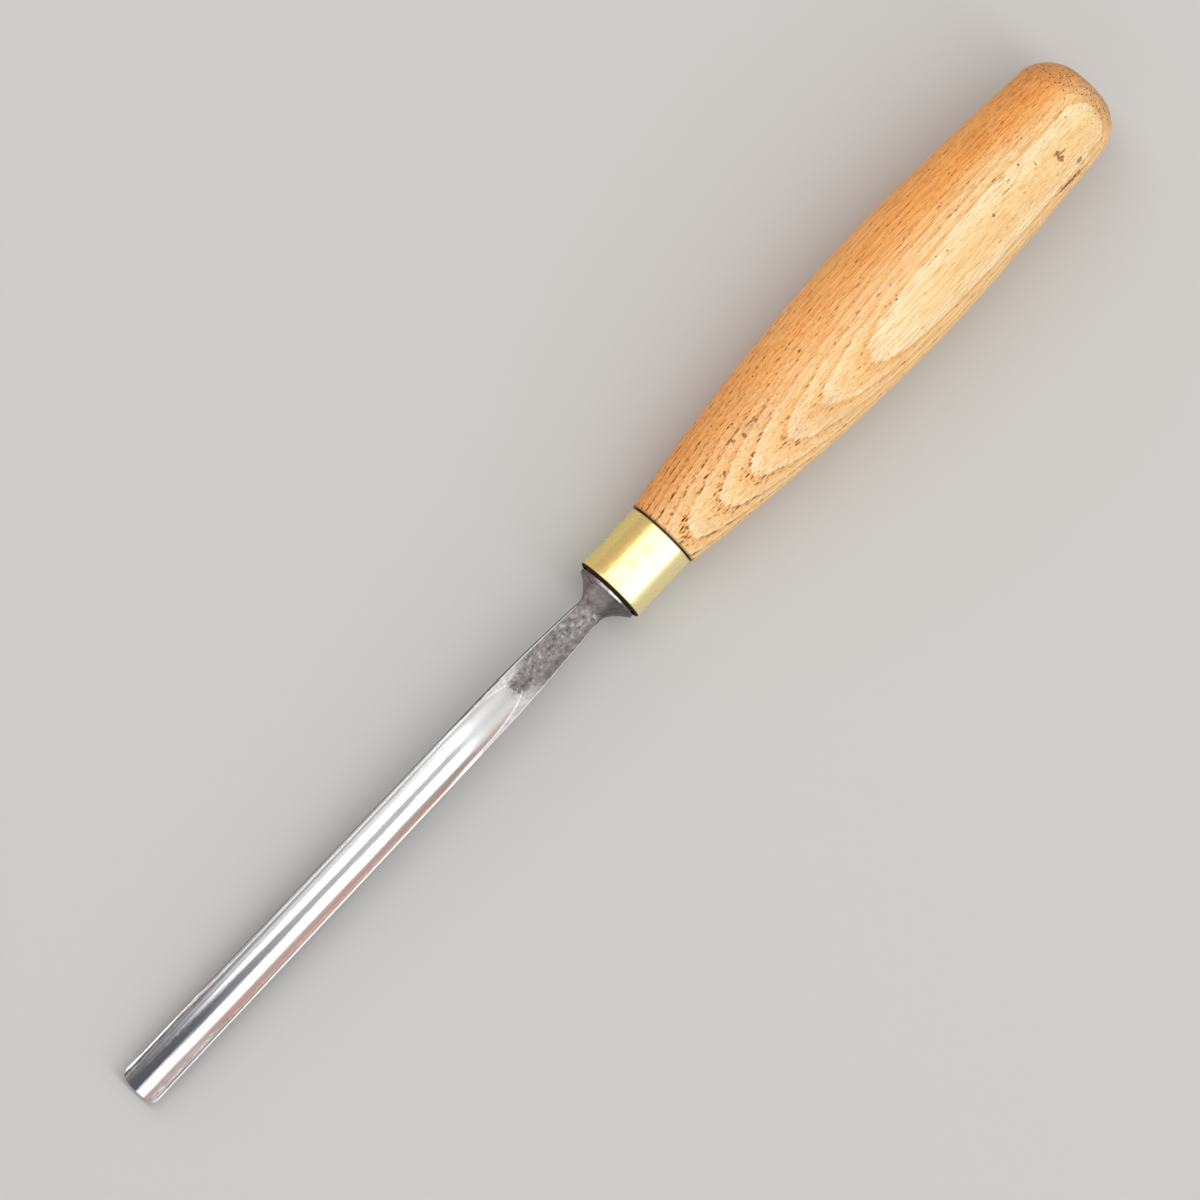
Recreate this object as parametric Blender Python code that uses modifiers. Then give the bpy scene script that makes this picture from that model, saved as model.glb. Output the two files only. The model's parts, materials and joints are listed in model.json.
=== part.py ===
"""A carving gouge that lies on its handle and blade, with the hollow of the blade upwards.

It comes apart into three pieces: a forged steel blade with its bolster and tang, a brass ferrule, and a
turned ash handle. All are built along the tool's own axis, +X, with the cutting edge at x = 0 and the butt
of the handle at the far end, and +Z on the hollow side. The empty named tool then lays them down: it tips
the tool until blade and handle both touch z = 0, and puts the middle of the object's box over the origin.
Sizes are in metres.
"""

import math
from collections import namedtuple

import bmesh
import bpy
import numpy as np
from mathutils import Vector
from mathutils.geometry import convex_hull_2d

# Blade
BLADE_LENGTH = 0.1219
EDGE_WIDTH = 0.00794
SHOULDER_WIDTH = 0.0071
SHOULDER_FROM_SEAT = 0.0266
SHOULDER_HEIGHT = 0.0041
LAND_WIDTH = 0.00045
FLUTE_DEPTH = 0.0018
FLUTE_LENGTH = 0.0992
RUNOUT_LENGTH = 0.0133
WALL_THICKNESS = 0.0016
TOP_RISE = 0.0022
RIM_HEIGHT = 0.0005

# Cutting edge and its outside bevel
BEVEL_ANGLE = math.radians(18)
GRIND_HALF_TURN = math.radians(84)
EDGE_THICKNESS = 0.00008
EDGE_BULGE = 0.00045
RIGHT_CORNER_RADIUS = 0.0014
LEFT_CORNER_RADIUS = 0.0009

# Neck, bolster and tang
NECK_WIDTH = 0.00497
NECK_HEIGHT = 0.0048
FLARE_LENGTH = 0.0042
BOLSTER_DIAMETER = 0.0121
BOLSTER_RIM = 0.0007
BOLSTER_EDGE = 0.00015
TANG_LENGTH = 0.055
TANG_WIDTH = 0.0046
TANG_END_WIDTH = 0.0022

# Ferrule
FERRULE_LENGTH = 0.0136
FERRULE_DIAMETER = 0.01375
FERRULE_WALL = 0.001
FERRULE_FRONT_ROUND = 0.0005
FERRULE_BACK_ROUND = 0.0002
DENT_FROM_FRONT = 0.0059
DENT_LENGTH = 0.0032
DENT_DEPTH = 0.0003

# Handle
HANDLE_LENGTH = 0.1102
THROAT_DIAMETER = 0.0142
BELLY_DIAMETER = 0.0244
BELLY_FROM_FERRULE = 0.0636
HEEL_DIAMETER = 0.0203
DOME_LENGTH = 0.0068
BUTT_FLAT_DIAMETER = 0.005
TENON_CHAMFER = 0.0004

# Clearance between pieces that touch, and the depth a socket has beyond what it holds
SEAT_GAP = 0.0003
SOCKET_SPARE = 0.001

# Roundness of the cross-sections: 2 is an ellipse, and larger powers are squarer
BLADE_TOP_POWER = 16
BLADE_UNDERSIDE_POWER = 2.1
NECK_TOP_POWER = 9
NECK_UNDERSIDE_POWER = 3.2
TANG_POWER = 7
ROUND = 2

# Shape of the long curves, as powers of the share of the way along them
NECK_CURVE = 1.5
FLARE_CURVE = 2
RUNOUT_CURVE = 1.8
THROAT_CURVE = 0.9
HEEL_CURVE = 1.45

# Facets, and how far a cutter reaches past what it cuts
SECTION_POINTS = 56
BLADE_RINGS = 6
NECK_RINGS = 12
FLARE_RINGS = 9
FLUTE_SIDES = 48
RUNOUT_RINGS = 16
GRIND_STEPS = 56
TURNED_STEPS = 64
HANDLE_RINGS = 24
DOME_RINGS = 9
ROUND_RINGS = 4
DENT_SEGMENTS = 32
DENT_RINGS = 24
SMOOTH_BELOW = math.radians(35)
WELD_DISTANCE = 0.000002
CUT_BEYOND = 0.002

# Places along the tool's axis
SEAT_X = BLADE_LENGTH
SHOULDER_X = SEAT_X - SHOULDER_FROM_SEAT
RIM_X = SEAT_X - BOLSTER_RIM
FLARE_X = RIM_X - FLARE_LENGTH
RUNOUT_X = FLUTE_LENGTH - RUNOUT_LENGTH
FERRULE_X = SEAT_X + SEAT_GAP
THROAT_X = FERRULE_X + FERRULE_LENGTH + SEAT_GAP

# The flute is part of a cylinder that leaves a land on each side of the blade
FLUTE_HALF_WIDTH = EDGE_WIDTH / 2 - LAND_WIDTH
FLUTE_RADIUS = (FLUTE_HALF_WIDTH**2 + FLUTE_DEPTH**2) / (2 * FLUTE_DEPTH)

STEEL = ((0.56, 0.56, 0.57), 0.28, 1.0)
BRASS = ((0.78, 0.60, 0.27), 0.22, 1.0)
ASH = ((0.80, 0.50, 0.22), 0.45, 0.0)

# A cross-section of a forged piece. It is widest at height waist, and a power sets how square each half is.
Section = namedtuple("Section", "x half_width top waist bottom top_power underside_power")


def clear_scene():
    for obj in list(bpy.data.objects):
        bpy.data.objects.remove(obj, do_unlink=True)


def new_collection(name):
    collection = bpy.data.collections.new(name)
    bpy.context.scene.collection.children.link(collection)
    return collection


def new_material(name, finish):
    colour, roughness, metallic = finish
    material = bpy.data.materials.new(name)
    material.use_nodes = True
    shader = material.node_tree.nodes["Principled BSDF"]
    shader.inputs["Base Color"].default_value = (*colour, 1.0)
    shader.inputs["Roughness"].default_value = roughness
    shader.inputs["Metallic"].default_value = metallic
    return material


def new_object(name, mesh, collection, material=None):
    obj = bpy.data.objects.new(name, mesh)
    collection.objects.link(obj)
    if material:
        mesh.materials.append(material)
    return obj


def mesh_from(bm, name, smooth=False):
    """Turns the bmesh into a mesh with its faces outwards.

    Only the flute's cutter is smooth. The forged skin and the ground bevel stay flat, which keeps the
    edges between all three crisp after the cuts.
    """
    bmesh.ops.recalc_face_normals(bm, faces=bm.faces)
    mesh = bpy.data.meshes.new(name)
    bm.to_mesh(mesh)
    bm.free()
    if smooth:
        mesh.shade_smooth()
        mesh.set_sharp_from_angle(angle=SMOOTH_BELOW)
    return mesh


def make_cutter(obj):
    obj.hide_render = True
    obj.display_type = "WIRE"


def cut(obj, cutter):
    boolean = obj.modifiers.new(cutter.name, "BOOLEAN")
    boolean.operation = "DIFFERENCE"
    boolean.solver = "EXACT"
    boolean.object = cutter


def mix(start, end, share):
    return start + (end - start) * share


def section_points(section):
    """Points round a cross-section, as two half superellipses that meet at its waist."""
    points = []
    for i in range(SECTION_POINTS):
        angle = 2 * math.pi * i / SECTION_POINTS
        across, up = math.cos(angle), math.sin(angle)
        power = section.top_power if up > 0 else section.underside_power
        reach = section.top - section.waist if up > 0 else section.waist - section.bottom
        y = section.half_width * math.copysign(abs(across) ** (2 / power), across)
        z = section.waist + reach * math.copysign(abs(up) ** (2 / power), up)
        points.append(Vector((section.x, y, z)))
    return points


def skin(name, sections):
    """A closed mesh through the cross-sections, in order along the axis."""
    bm = bmesh.new()
    rings = []
    for section in sections:
        rings.append([bm.verts.new(point) for point in section_points(section)])
    for near, far in zip(rings, rings[1:]):
        for i in range(SECTION_POINTS):
            j = (i + 1) % SECTION_POINTS
            bm.faces.new((near[i], near[j], far[j], far[i]))
    bm.faces.new(rings[0])
    bm.faces.new(rings[-1])
    return mesh_from(bm, name)


def blade_half_width(x):
    return mix(EDGE_WIDTH, SHOULDER_WIDTH, x / SHOULDER_X) / 2


def flute_depth(x):
    """Depth of the flute below the blade's top: it fills the blade's width between the lands, then runs out."""
    reach = blade_half_width(min(x, RUNOUT_X)) - LAND_WIDTH
    full = FLUTE_RADIUS - math.sqrt(FLUTE_RADIUS**2 - reach**2)
    past = max(x - RUNOUT_X, 0) / RUNOUT_LENGTH
    return full * (1 - past**RUNOUT_CURVE)


def blade_sections():
    """The fluted length: it narrows and thickens slowly from the edge to the shoulder."""
    sections = []
    for i in range(BLADE_RINGS + 1):
        share = i / BLADE_RINGS
        x = mix(-CUT_BEYOND, SHOULDER_X, share)
        depth = mix(FLUTE_DEPTH + WALL_THICKNESS, SHOULDER_HEIGHT, share)
        sections.append(
            Section(
                x,
                blade_half_width(x),
                TOP_RISE,
                TOP_RISE - RIM_HEIGHT,
                TOP_RISE - depth,
                BLADE_TOP_POWER,
                BLADE_UNDERSIDE_POWER,
            )
        )
    return sections


def neck_sections(shoulder):
    """From the shoulder to the foot of the flare, where the section has become a rounded square."""
    neck = Section(
        FLARE_X,
        NECK_WIDTH / 2,
        TOP_RISE,
        TOP_RISE - NECK_HEIGHT / 2,
        TOP_RISE - NECK_HEIGHT,
        NECK_TOP_POWER,
        NECK_UNDERSIDE_POWER,
    )
    sections = []
    for i in range(1, NECK_RINGS + 1):
        share = i / NECK_RINGS
        section = Section(*(mix(a, b, share) for a, b in zip(shoulder, neck)))
        half_width = mix(shoulder.half_width, neck.half_width, share**NECK_CURVE)
        sections.append(section._replace(half_width=half_width))
    return sections


def bolster_sections(neck):
    """The flare from the square neck to the round bolster, and the bolster's rim."""
    radius = BOLSTER_DIAMETER / 2
    edge = radius - BOLSTER_EDGE
    front = Section(RIM_X, edge, edge, 0, -edge, ROUND, ROUND)
    sections = []
    for i in range(1, FLARE_RINGS + 1):
        share = i / FLARE_RINGS
        grown = share**FLARE_CURVE
        values = [mix(a, b, grown) for a, b in zip(neck, front)]
        section = Section(*values)._replace(x=mix(neck.x, front.x, share))
        rounding = 1 - (1 - share) ** FLARE_CURVE
        sections.append(
            section._replace(
                top_power=mix(neck.top_power, ROUND, rounding),
                underside_power=mix(neck.underside_power, ROUND, rounding),
            )
        )
    for x, size in (
        (RIM_X + BOLSTER_EDGE, radius),
        (SEAT_X - BOLSTER_EDGE, radius),
        (SEAT_X, edge),
    ):
        sections.append(Section(x, size, size, 0, -size, ROUND, ROUND))
    return sections


def tang_sections(clearance, start_x, end_x):
    """The square tang's taper between two places on the axis, or its socket's when clearance is added."""
    sections = []
    for x in (start_x, end_x):
        share = (x - SEAT_X) / TANG_LENGTH
        half = mix(TANG_WIDTH, TANG_END_WIDTH, share) / 2 + clearance
        sections.append(Section(x, half, half, 0, -half, TANG_POWER, TANG_POWER))
    return sections


def flute_cutter(collection):
    """A round bar that follows the bottom of the flute and rises out of the blade at its back end."""
    curve = bpy.data.curves.new("flute_path", "CURVE")
    curve.dimensions = "3D"
    curve.bevel_depth = FLUTE_RADIUS
    curve.bevel_resolution = FLUTE_SIDES // 2 - 2
    curve.use_fill_caps = True
    xs = list(np.linspace(-2 * CUT_BEYOND, RUNOUT_X, BLADE_RINGS))
    xs += list(np.linspace(RUNOUT_X, FLUTE_LENGTH + CUT_BEYOND, RUNOUT_RINGS))[1:]
    spline = curve.splines.new("POLY")
    spline.points.add(len(xs) - 1)
    for point, x in zip(spline.points, xs):
        point.co = (x, 0, TOP_RISE + FLUTE_RADIUS - flute_depth(x), 1)
    path = new_object("flute_path", curve, collection)
    evaluated = path.evaluated_get(bpy.context.evaluated_depsgraph_get())
    bm = bmesh.new()
    bm.from_mesh(bpy.data.meshes.new_from_object(evaluated))
    bmesh.ops.remove_doubles(bm, verts=bm.verts, dist=WELD_DISTANCE)
    bpy.data.objects.remove(path)
    cutter = new_object("flute_cutter", mesh_from(bm, "flute_cutter", smooth=True), collection)
    make_cutter(cutter)
    return cutter


def edge_set_back(y):
    """How far the cutting edge lies behind its foremost point, at y across the blade.

    Right is +Y, as seen by someone who holds the handle with the hollow of the blade upwards.
    """
    half = EDGE_WIDTH / 2
    radius = RIGHT_CORNER_RADIUS if y > 0 else LEFT_CORNER_RADIUS
    into_corner = min(max(abs(y) - (half - radius), 0), radius)
    corner = radius - math.sqrt(radius**2 - into_corner**2)
    return EDGE_BULGE * (y / half) ** 2 + corner


def grinding_cutter(collection):
    """A cone round the flute's own axis that grinds the outside bevel and shapes the edge.

    Its profile is spun about the axis, and each row is then moved back to follow the edge's outline.
    """
    edge_radius = FLUTE_RADIUS + EDGE_THICKNESS
    outside = edge_radius + WALL_THICKNESS + CUT_BEYOND
    inside = FLUTE_RADIUS - CUT_BEYOND
    profile = (
        (-2 * CUT_BEYOND, inside),
        (0, inside),
        (0, edge_radius),
        ((outside - edge_radius) / math.tan(BEVEL_ANGLE), outside),
        (-2 * CUT_BEYOND, outside),
    )
    axis_z = TOP_RISE + FLUTE_RADIUS - FLUTE_DEPTH
    bm = bmesh.new()
    side, down = math.sin(GRIND_HALF_TURN), math.cos(GRIND_HALF_TURN)
    corners = [bm.verts.new((x, side * r, axis_z - down * r)) for x, r in profile]
    edges = [bm.edges.new((a, b)) for a, b in zip(corners, corners[1:] + corners[:1])]
    bmesh.ops.spin(
        bm,
        geom=corners + edges,
        cent=(0, 0, axis_z),
        axis=(1, 0, 0),
        angle=-2 * GRIND_HALF_TURN,
        steps=GRIND_STEPS,
    )
    half = EDGE_WIDTH / 2
    for vert in bm.verts:
        y = FLUTE_RADIUS * math.sin(math.atan2(vert.co.y, axis_z - vert.co.z))
        vert.co.x += edge_set_back(max(-half, min(half, y)))
    bmesh.ops.holes_fill(bm, edges=bm.edges, sides=0)
    cutter = new_object("grinding_cutter", mesh_from(bm, "grinding_cutter"), collection)
    make_cutter(cutter)
    return cutter


def make_blade(parts, cutters):
    """One forging: the fluted blade, its neck and bolster, and the tang behind them."""
    sections = blade_sections()
    sections += neck_sections(sections[-1])
    sections += bolster_sections(sections[-1])
    sections += tang_sections(0, SEAT_X, SEAT_X + TANG_LENGTH)
    blade = new_object("blade", skin("blade", sections), parts, new_material("steel", STEEL))
    cut(blade, flute_cutter(cutters))
    cut(blade, grinding_cutter(cutters))
    return blade


def turned(name, outline, start_x, collection, material, hollow=False):
    """Turns an outline of (distance from start_x, radius), given from its far end to its near one.

    The outline of a hollow piece goes on along its bore, and is closed.
    """
    bm = bmesh.new()
    verts = [bm.verts.new((radius, 0, along)) for along, radius in outline]
    for a, b in zip(verts, verts[1:]):
        bm.edges.new((a, b))
    if hollow:
        bm.edges.new((verts[-1], verts[0]))
    mesh = bpy.data.meshes.new(name)
    bm.to_mesh(mesh)
    bm.free()
    obj = new_object(name, mesh, collection, material)
    obj.location.x = start_x
    obj.rotation_euler.y = math.radians(90)
    screw = obj.modifiers.new("turning", "SCREW")
    screw.axis = "Z"
    screw.steps = TURNED_STEPS
    screw.render_steps = TURNED_STEPS
    screw.use_merge_vertices = True
    screw.merge_threshold = WELD_DISTANCE
    screw.use_smooth_shade = True
    return obj


def quarter_round(along, radius, size, along_sign):
    """Points of a rounded outer edge, from the surface at the given radius to the face at place along."""
    points = []
    for i in range(ROUND_RINGS + 1):
        angle = math.pi / 2 * i / ROUND_RINGS
        inward = size * (1 - math.cos(angle))
        points.append((along + along_sign * size * (1 - math.sin(angle)), radius - inward))
    return points


def make_ferrule(parts, cutters):
    """A drawn brass tube with a rounded front edge and one small dent in its side."""
    radius = FERRULE_DIAMETER / 2
    bore = radius - FERRULE_WALL
    back = quarter_round(FERRULE_LENGTH, radius, FERRULE_BACK_ROUND, -1)
    front = quarter_round(0, radius, FERRULE_FRONT_ROUND, 1)
    outline = back[::-1] + front + [(0, bore), (FERRULE_LENGTH, bore)]
    brass = new_material("brass", BRASS)
    ferrule = turned("ferrule", outline, FERRULE_X, parts, brass, hollow=True)
    dent_radius = (DENT_LENGTH**2 / 4 + DENT_DEPTH**2) / (2 * DENT_DEPTH)
    bpy.ops.mesh.primitive_uv_sphere_add(
        segments=DENT_SEGMENTS, ring_count=DENT_RINGS, radius=dent_radius
    )
    dent = bpy.context.object
    dent.name = "dent_cutter"
    for owner in list(dent.users_collection):
        owner.objects.unlink(dent)
    cutters.objects.link(dent)
    dent.location = (FERRULE_X + DENT_FROM_FRONT, radius - DENT_DEPTH + dent_radius, 0)
    make_cutter(dent)
    cut(ferrule, dent)
    return ferrule


def handle_radius(along):
    """The handle's radius at a distance from the ferrule, before its butt is rounded."""
    throat, belly, heel = THROAT_DIAMETER / 2, BELLY_DIAMETER / 2, HEEL_DIAMETER / 2
    if along < BELLY_FROM_FERRULE:
        rise = math.sin(math.pi / 2 * along / BELLY_FROM_FERRULE) ** THROAT_CURVE
        return mix(throat, belly, rise)
    fall = (along - BELLY_FROM_FERRULE) / (HANDLE_LENGTH - DOME_LENGTH - BELLY_FROM_FERRULE)
    return mix(belly, heel, fall**HEEL_CURVE)


def handle_outline():
    """The turned outline from the butt to the end of the tenon that fills the ferrule."""
    flat = BUTT_FLAT_DIAMETER / 2
    heel = HANDLE_LENGTH - DOME_LENGTH
    outline = [(HANDLE_LENGTH, 0), (HANDLE_LENGTH, flat)]
    for i in range(DOME_RINGS - 1, 0, -1):
        angle = math.pi / 2 * i / DOME_RINGS
        along = heel + DOME_LENGTH * math.sin(angle)
        outline.append((along, mix(flat, handle_radius(along), math.cos(angle))))
    for along in np.linspace(heel, 0, HANDLE_RINGS):
        outline.append((along, handle_radius(along)))
    tenon = FERRULE_DIAMETER / 2 - FERRULE_WALL - SEAT_GAP
    end = -(FERRULE_LENGTH + SEAT_GAP)
    outline += [(0, tenon), (end + TENON_CHAMFER, tenon), (end, tenon - TENON_CHAMFER), (end, 0)]
    return outline


def make_handle(parts, cutters):
    """The ash handle, with a tenon for the ferrule and a tapered square socket for the tang."""
    handle = turned("handle", handle_outline(), THROAT_X, parts, new_material("ash", ASH))
    mouth = FERRULE_X - CUT_BEYOND
    bottom = SEAT_X + TANG_LENGTH + SOCKET_SPARE
    sections = tang_sections(SEAT_GAP, mouth, bottom)
    socket = new_object("tang_socket_cutter", skin("tang_socket", sections), cutters)
    make_cutter(socket)
    cut(handle, socket)
    return handle


def points_of(objects):
    """The world points of the finished objects."""
    bpy.context.view_layer.update()
    graph = bpy.context.evaluated_depsgraph_get()
    points = []
    for obj in objects:
        evaluated = obj.evaluated_get(graph)
        mesh = evaluated.to_mesh()
        points += [evaluated.matrix_world @ vert.co for vert in mesh.vertices]
        evaluated.to_mesh_clear()
    return points


def height_below_seat(near, far):
    """Height at which the line from near to far passes the handle's seat, in the tool's side view."""
    return mix(near.y, far.y, (SEAT_X - near.x) / (far.x - near.x))


def lay_down(tool, objects):
    """Tips the tool until it touches the ground on both sides of the seat, and centres it there."""
    outline = [Vector((point.x, point.z)) for point in points_of(objects)]
    hull = [outline[i] for i in convex_hull_2d(outline)]
    spans = []
    for a, b in zip(hull, hull[1:] + hull[:1]):
        near, far = (a, b) if a.x < b.x else (b, a)
        if near.x <= SEAT_X < far.x:
            spans.append((near, far))
    near, far = min(spans, key=lambda span: height_below_seat(*span))
    tool.rotation_euler.y = math.atan2(far.y - near.y, far.x - near.x)
    corners = np.array(points_of(objects))
    low, high = corners.min(axis=0), corners.max(axis=0)
    tool.location = (-(low[0] + high[0]) / 2, -(low[1] + high[1]) / 2, -low[2])


def main():
    clear_scene()
    parts = new_collection("carving_gouge")
    cutters = new_collection("cutters")
    tool = bpy.data.objects.new("tool", None)
    parts.objects.link(tool)
    made = [make_blade(parts, cutters), make_ferrule(parts, cutters), make_handle(parts, cutters)]
    for obj in list(parts.objects) + list(cutters.objects):
        if obj != tool:
            obj.parent = tool
    lay_down(tool, made)
    bpy.context.view_layer.update()


if __name__ == "__main__":
    main()
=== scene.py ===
"""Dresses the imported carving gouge: a fluted steel blade, a brass ferrule and a turned ash handle.

Each piece is modelled in the tool's own frame, where +X runs along the tool from the cutting edge to the
butt, +Y to its left and +Z up from the hollow side of the blade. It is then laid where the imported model
lies. Sizes are in metres, and the textures work in millimetres of the tool's own frame.
"""

import json
import logging
import math
from dataclasses import dataclass
from enum import Enum
from typing import NamedTuple

import bmesh
import bpy
import numpy as np
from mathutils import Matrix, Vector


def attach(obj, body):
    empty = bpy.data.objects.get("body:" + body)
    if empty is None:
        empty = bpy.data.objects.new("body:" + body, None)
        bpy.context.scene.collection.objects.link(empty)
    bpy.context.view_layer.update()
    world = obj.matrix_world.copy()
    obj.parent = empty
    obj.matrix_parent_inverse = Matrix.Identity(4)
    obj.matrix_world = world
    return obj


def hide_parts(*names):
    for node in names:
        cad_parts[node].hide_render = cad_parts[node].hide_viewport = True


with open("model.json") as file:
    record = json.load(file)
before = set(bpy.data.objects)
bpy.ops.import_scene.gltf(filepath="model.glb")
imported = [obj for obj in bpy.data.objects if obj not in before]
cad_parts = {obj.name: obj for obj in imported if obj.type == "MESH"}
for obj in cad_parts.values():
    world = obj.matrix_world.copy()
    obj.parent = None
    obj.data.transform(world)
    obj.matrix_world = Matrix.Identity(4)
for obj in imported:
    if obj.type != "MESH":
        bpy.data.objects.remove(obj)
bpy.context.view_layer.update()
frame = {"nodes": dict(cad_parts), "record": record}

LOG = logging.getLogger("carving_gouge")
TO_MM = 1000.0
WELD = 0.0000005
CREASE_ANGLE = math.radians(40)

Colour = tuple[float, float, float]
Point = tuple[float, float, float]
Stops = tuple[tuple[float, Colour], ...]
Number = float | np.ndarray
Socket = bpy.types.NodeSocket
Value = Socket | float | tuple[float, ...]


class Slot(Enum):
    """The record's material slots."""

    STEEL = "blade_steel"
    BRASS = "ferrule_brass"
    ASH = "handle_ash"


def mix(start: Number, end: Number, share: Number) -> Number:
    """The value at a share of the way from start to end."""
    return start + (end - start) * share


def ease(low: float, high: float, value: Number) -> Number:
    """A smooth step.

    Args:
        low: Value at which the step starts. It may be above high, and the step then falls.
        high: Value at which it ends.
        value: Where to measure it.

    Returns:
        0 before the step, 1 after it, and an S curve between them.
    """
    share = np.clip((value - low) / (high - low), 0.0, 1.0)
    return share * share * (3 - 2 * share)


@dataclass(frozen=True)
class Ripple:
    """Uneven hand work, as a sum of plane waves in random directions."""

    height: float
    wavelength: float
    seed: int
    waves: int = 9
    along: float = 1.0

    def at(self, points: np.ndarray) -> np.ndarray:
        """Measures the ripple.

        Args:
            points: Points in the tool's frame, in the last axis of the array.

        Returns:
            The height that it adds to each point, which may be below 0.
        """
        random = np.random.default_rng(self.seed)
        stretched = points * (self.along, 1.0, 1.0)
        total = np.zeros(points.shape[:-1])
        for _ in range(self.waves):
            direction = random.normal(size=3)
            direction /= np.linalg.norm(direction)
            turn = 2 * math.pi / (self.wavelength * random.uniform(0.6, 1.6))
            total += np.sin(stretched @ direction * turn + random.uniform(0, 2 * math.pi))
        return total / math.sqrt(self.waves * 2) * self.height


FORGING_LUMPS = (
    Ripple(0.000016, 0.0022, seed=11),
    Ripple(0.000012, 0.0008, seed=12, waves=14),
)
POLISHING_RIPPLES = (
    Ripple(0.000006, 0.004, seed=13, along=0.25),
    Ripple(0.0000015, 0.0015, seed=14, along=0.3),
)


@dataclass(frozen=True)
class ToolFrame:
    """The tool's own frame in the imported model.

    The butt's mount gives its axis and the middle of the butt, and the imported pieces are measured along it.
    """

    butt: Vector
    axis: Vector
    length: float

    @classmethod
    def read(cls, record: dict) -> "ToolFrame":
        """Finds the frame.

        Args:
            record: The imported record.

        Returns:
            The frame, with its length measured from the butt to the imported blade's edge.
        """
        mount = next(m for m in record["mounts"] if m["name"] == "butt_face")
        butt = Vector(mount["pos_m"])
        axis = Vector(mount["axis"]).normalized()
        points = np.array([vert.co for vert in frame["nodes"]["blade"].data.vertices])
        along = (points - np.array(butt)) @ np.array(axis)
        return cls(butt, axis, -float(along.min()))

    @property
    def matrix(self) -> Matrix:
        """Takes a point of the tool's frame to the world.

        Returns:
            The matrix.
        """
        side = Vector((0, 1, 0))
        up = self.axis.cross(side)
        turn = Matrix((self.axis, side, up)).transposed().to_4x4()
        return Matrix.Translation(self.butt - self.axis * self.length) @ turn

    def extent(self, node: str) -> tuple[float, float]:
        """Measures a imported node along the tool.

        Args:
            node: Name of the node.

        Returns:
            Where it starts and where it ends, from the cutting edge.
        """
        points = np.array([vert.co for vert in frame["nodes"][node].data.vertices])
        along = (points - np.array(self.butt)) @ np.array(self.axis) + self.length
        return float(along.min()), float(along.max())


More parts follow.
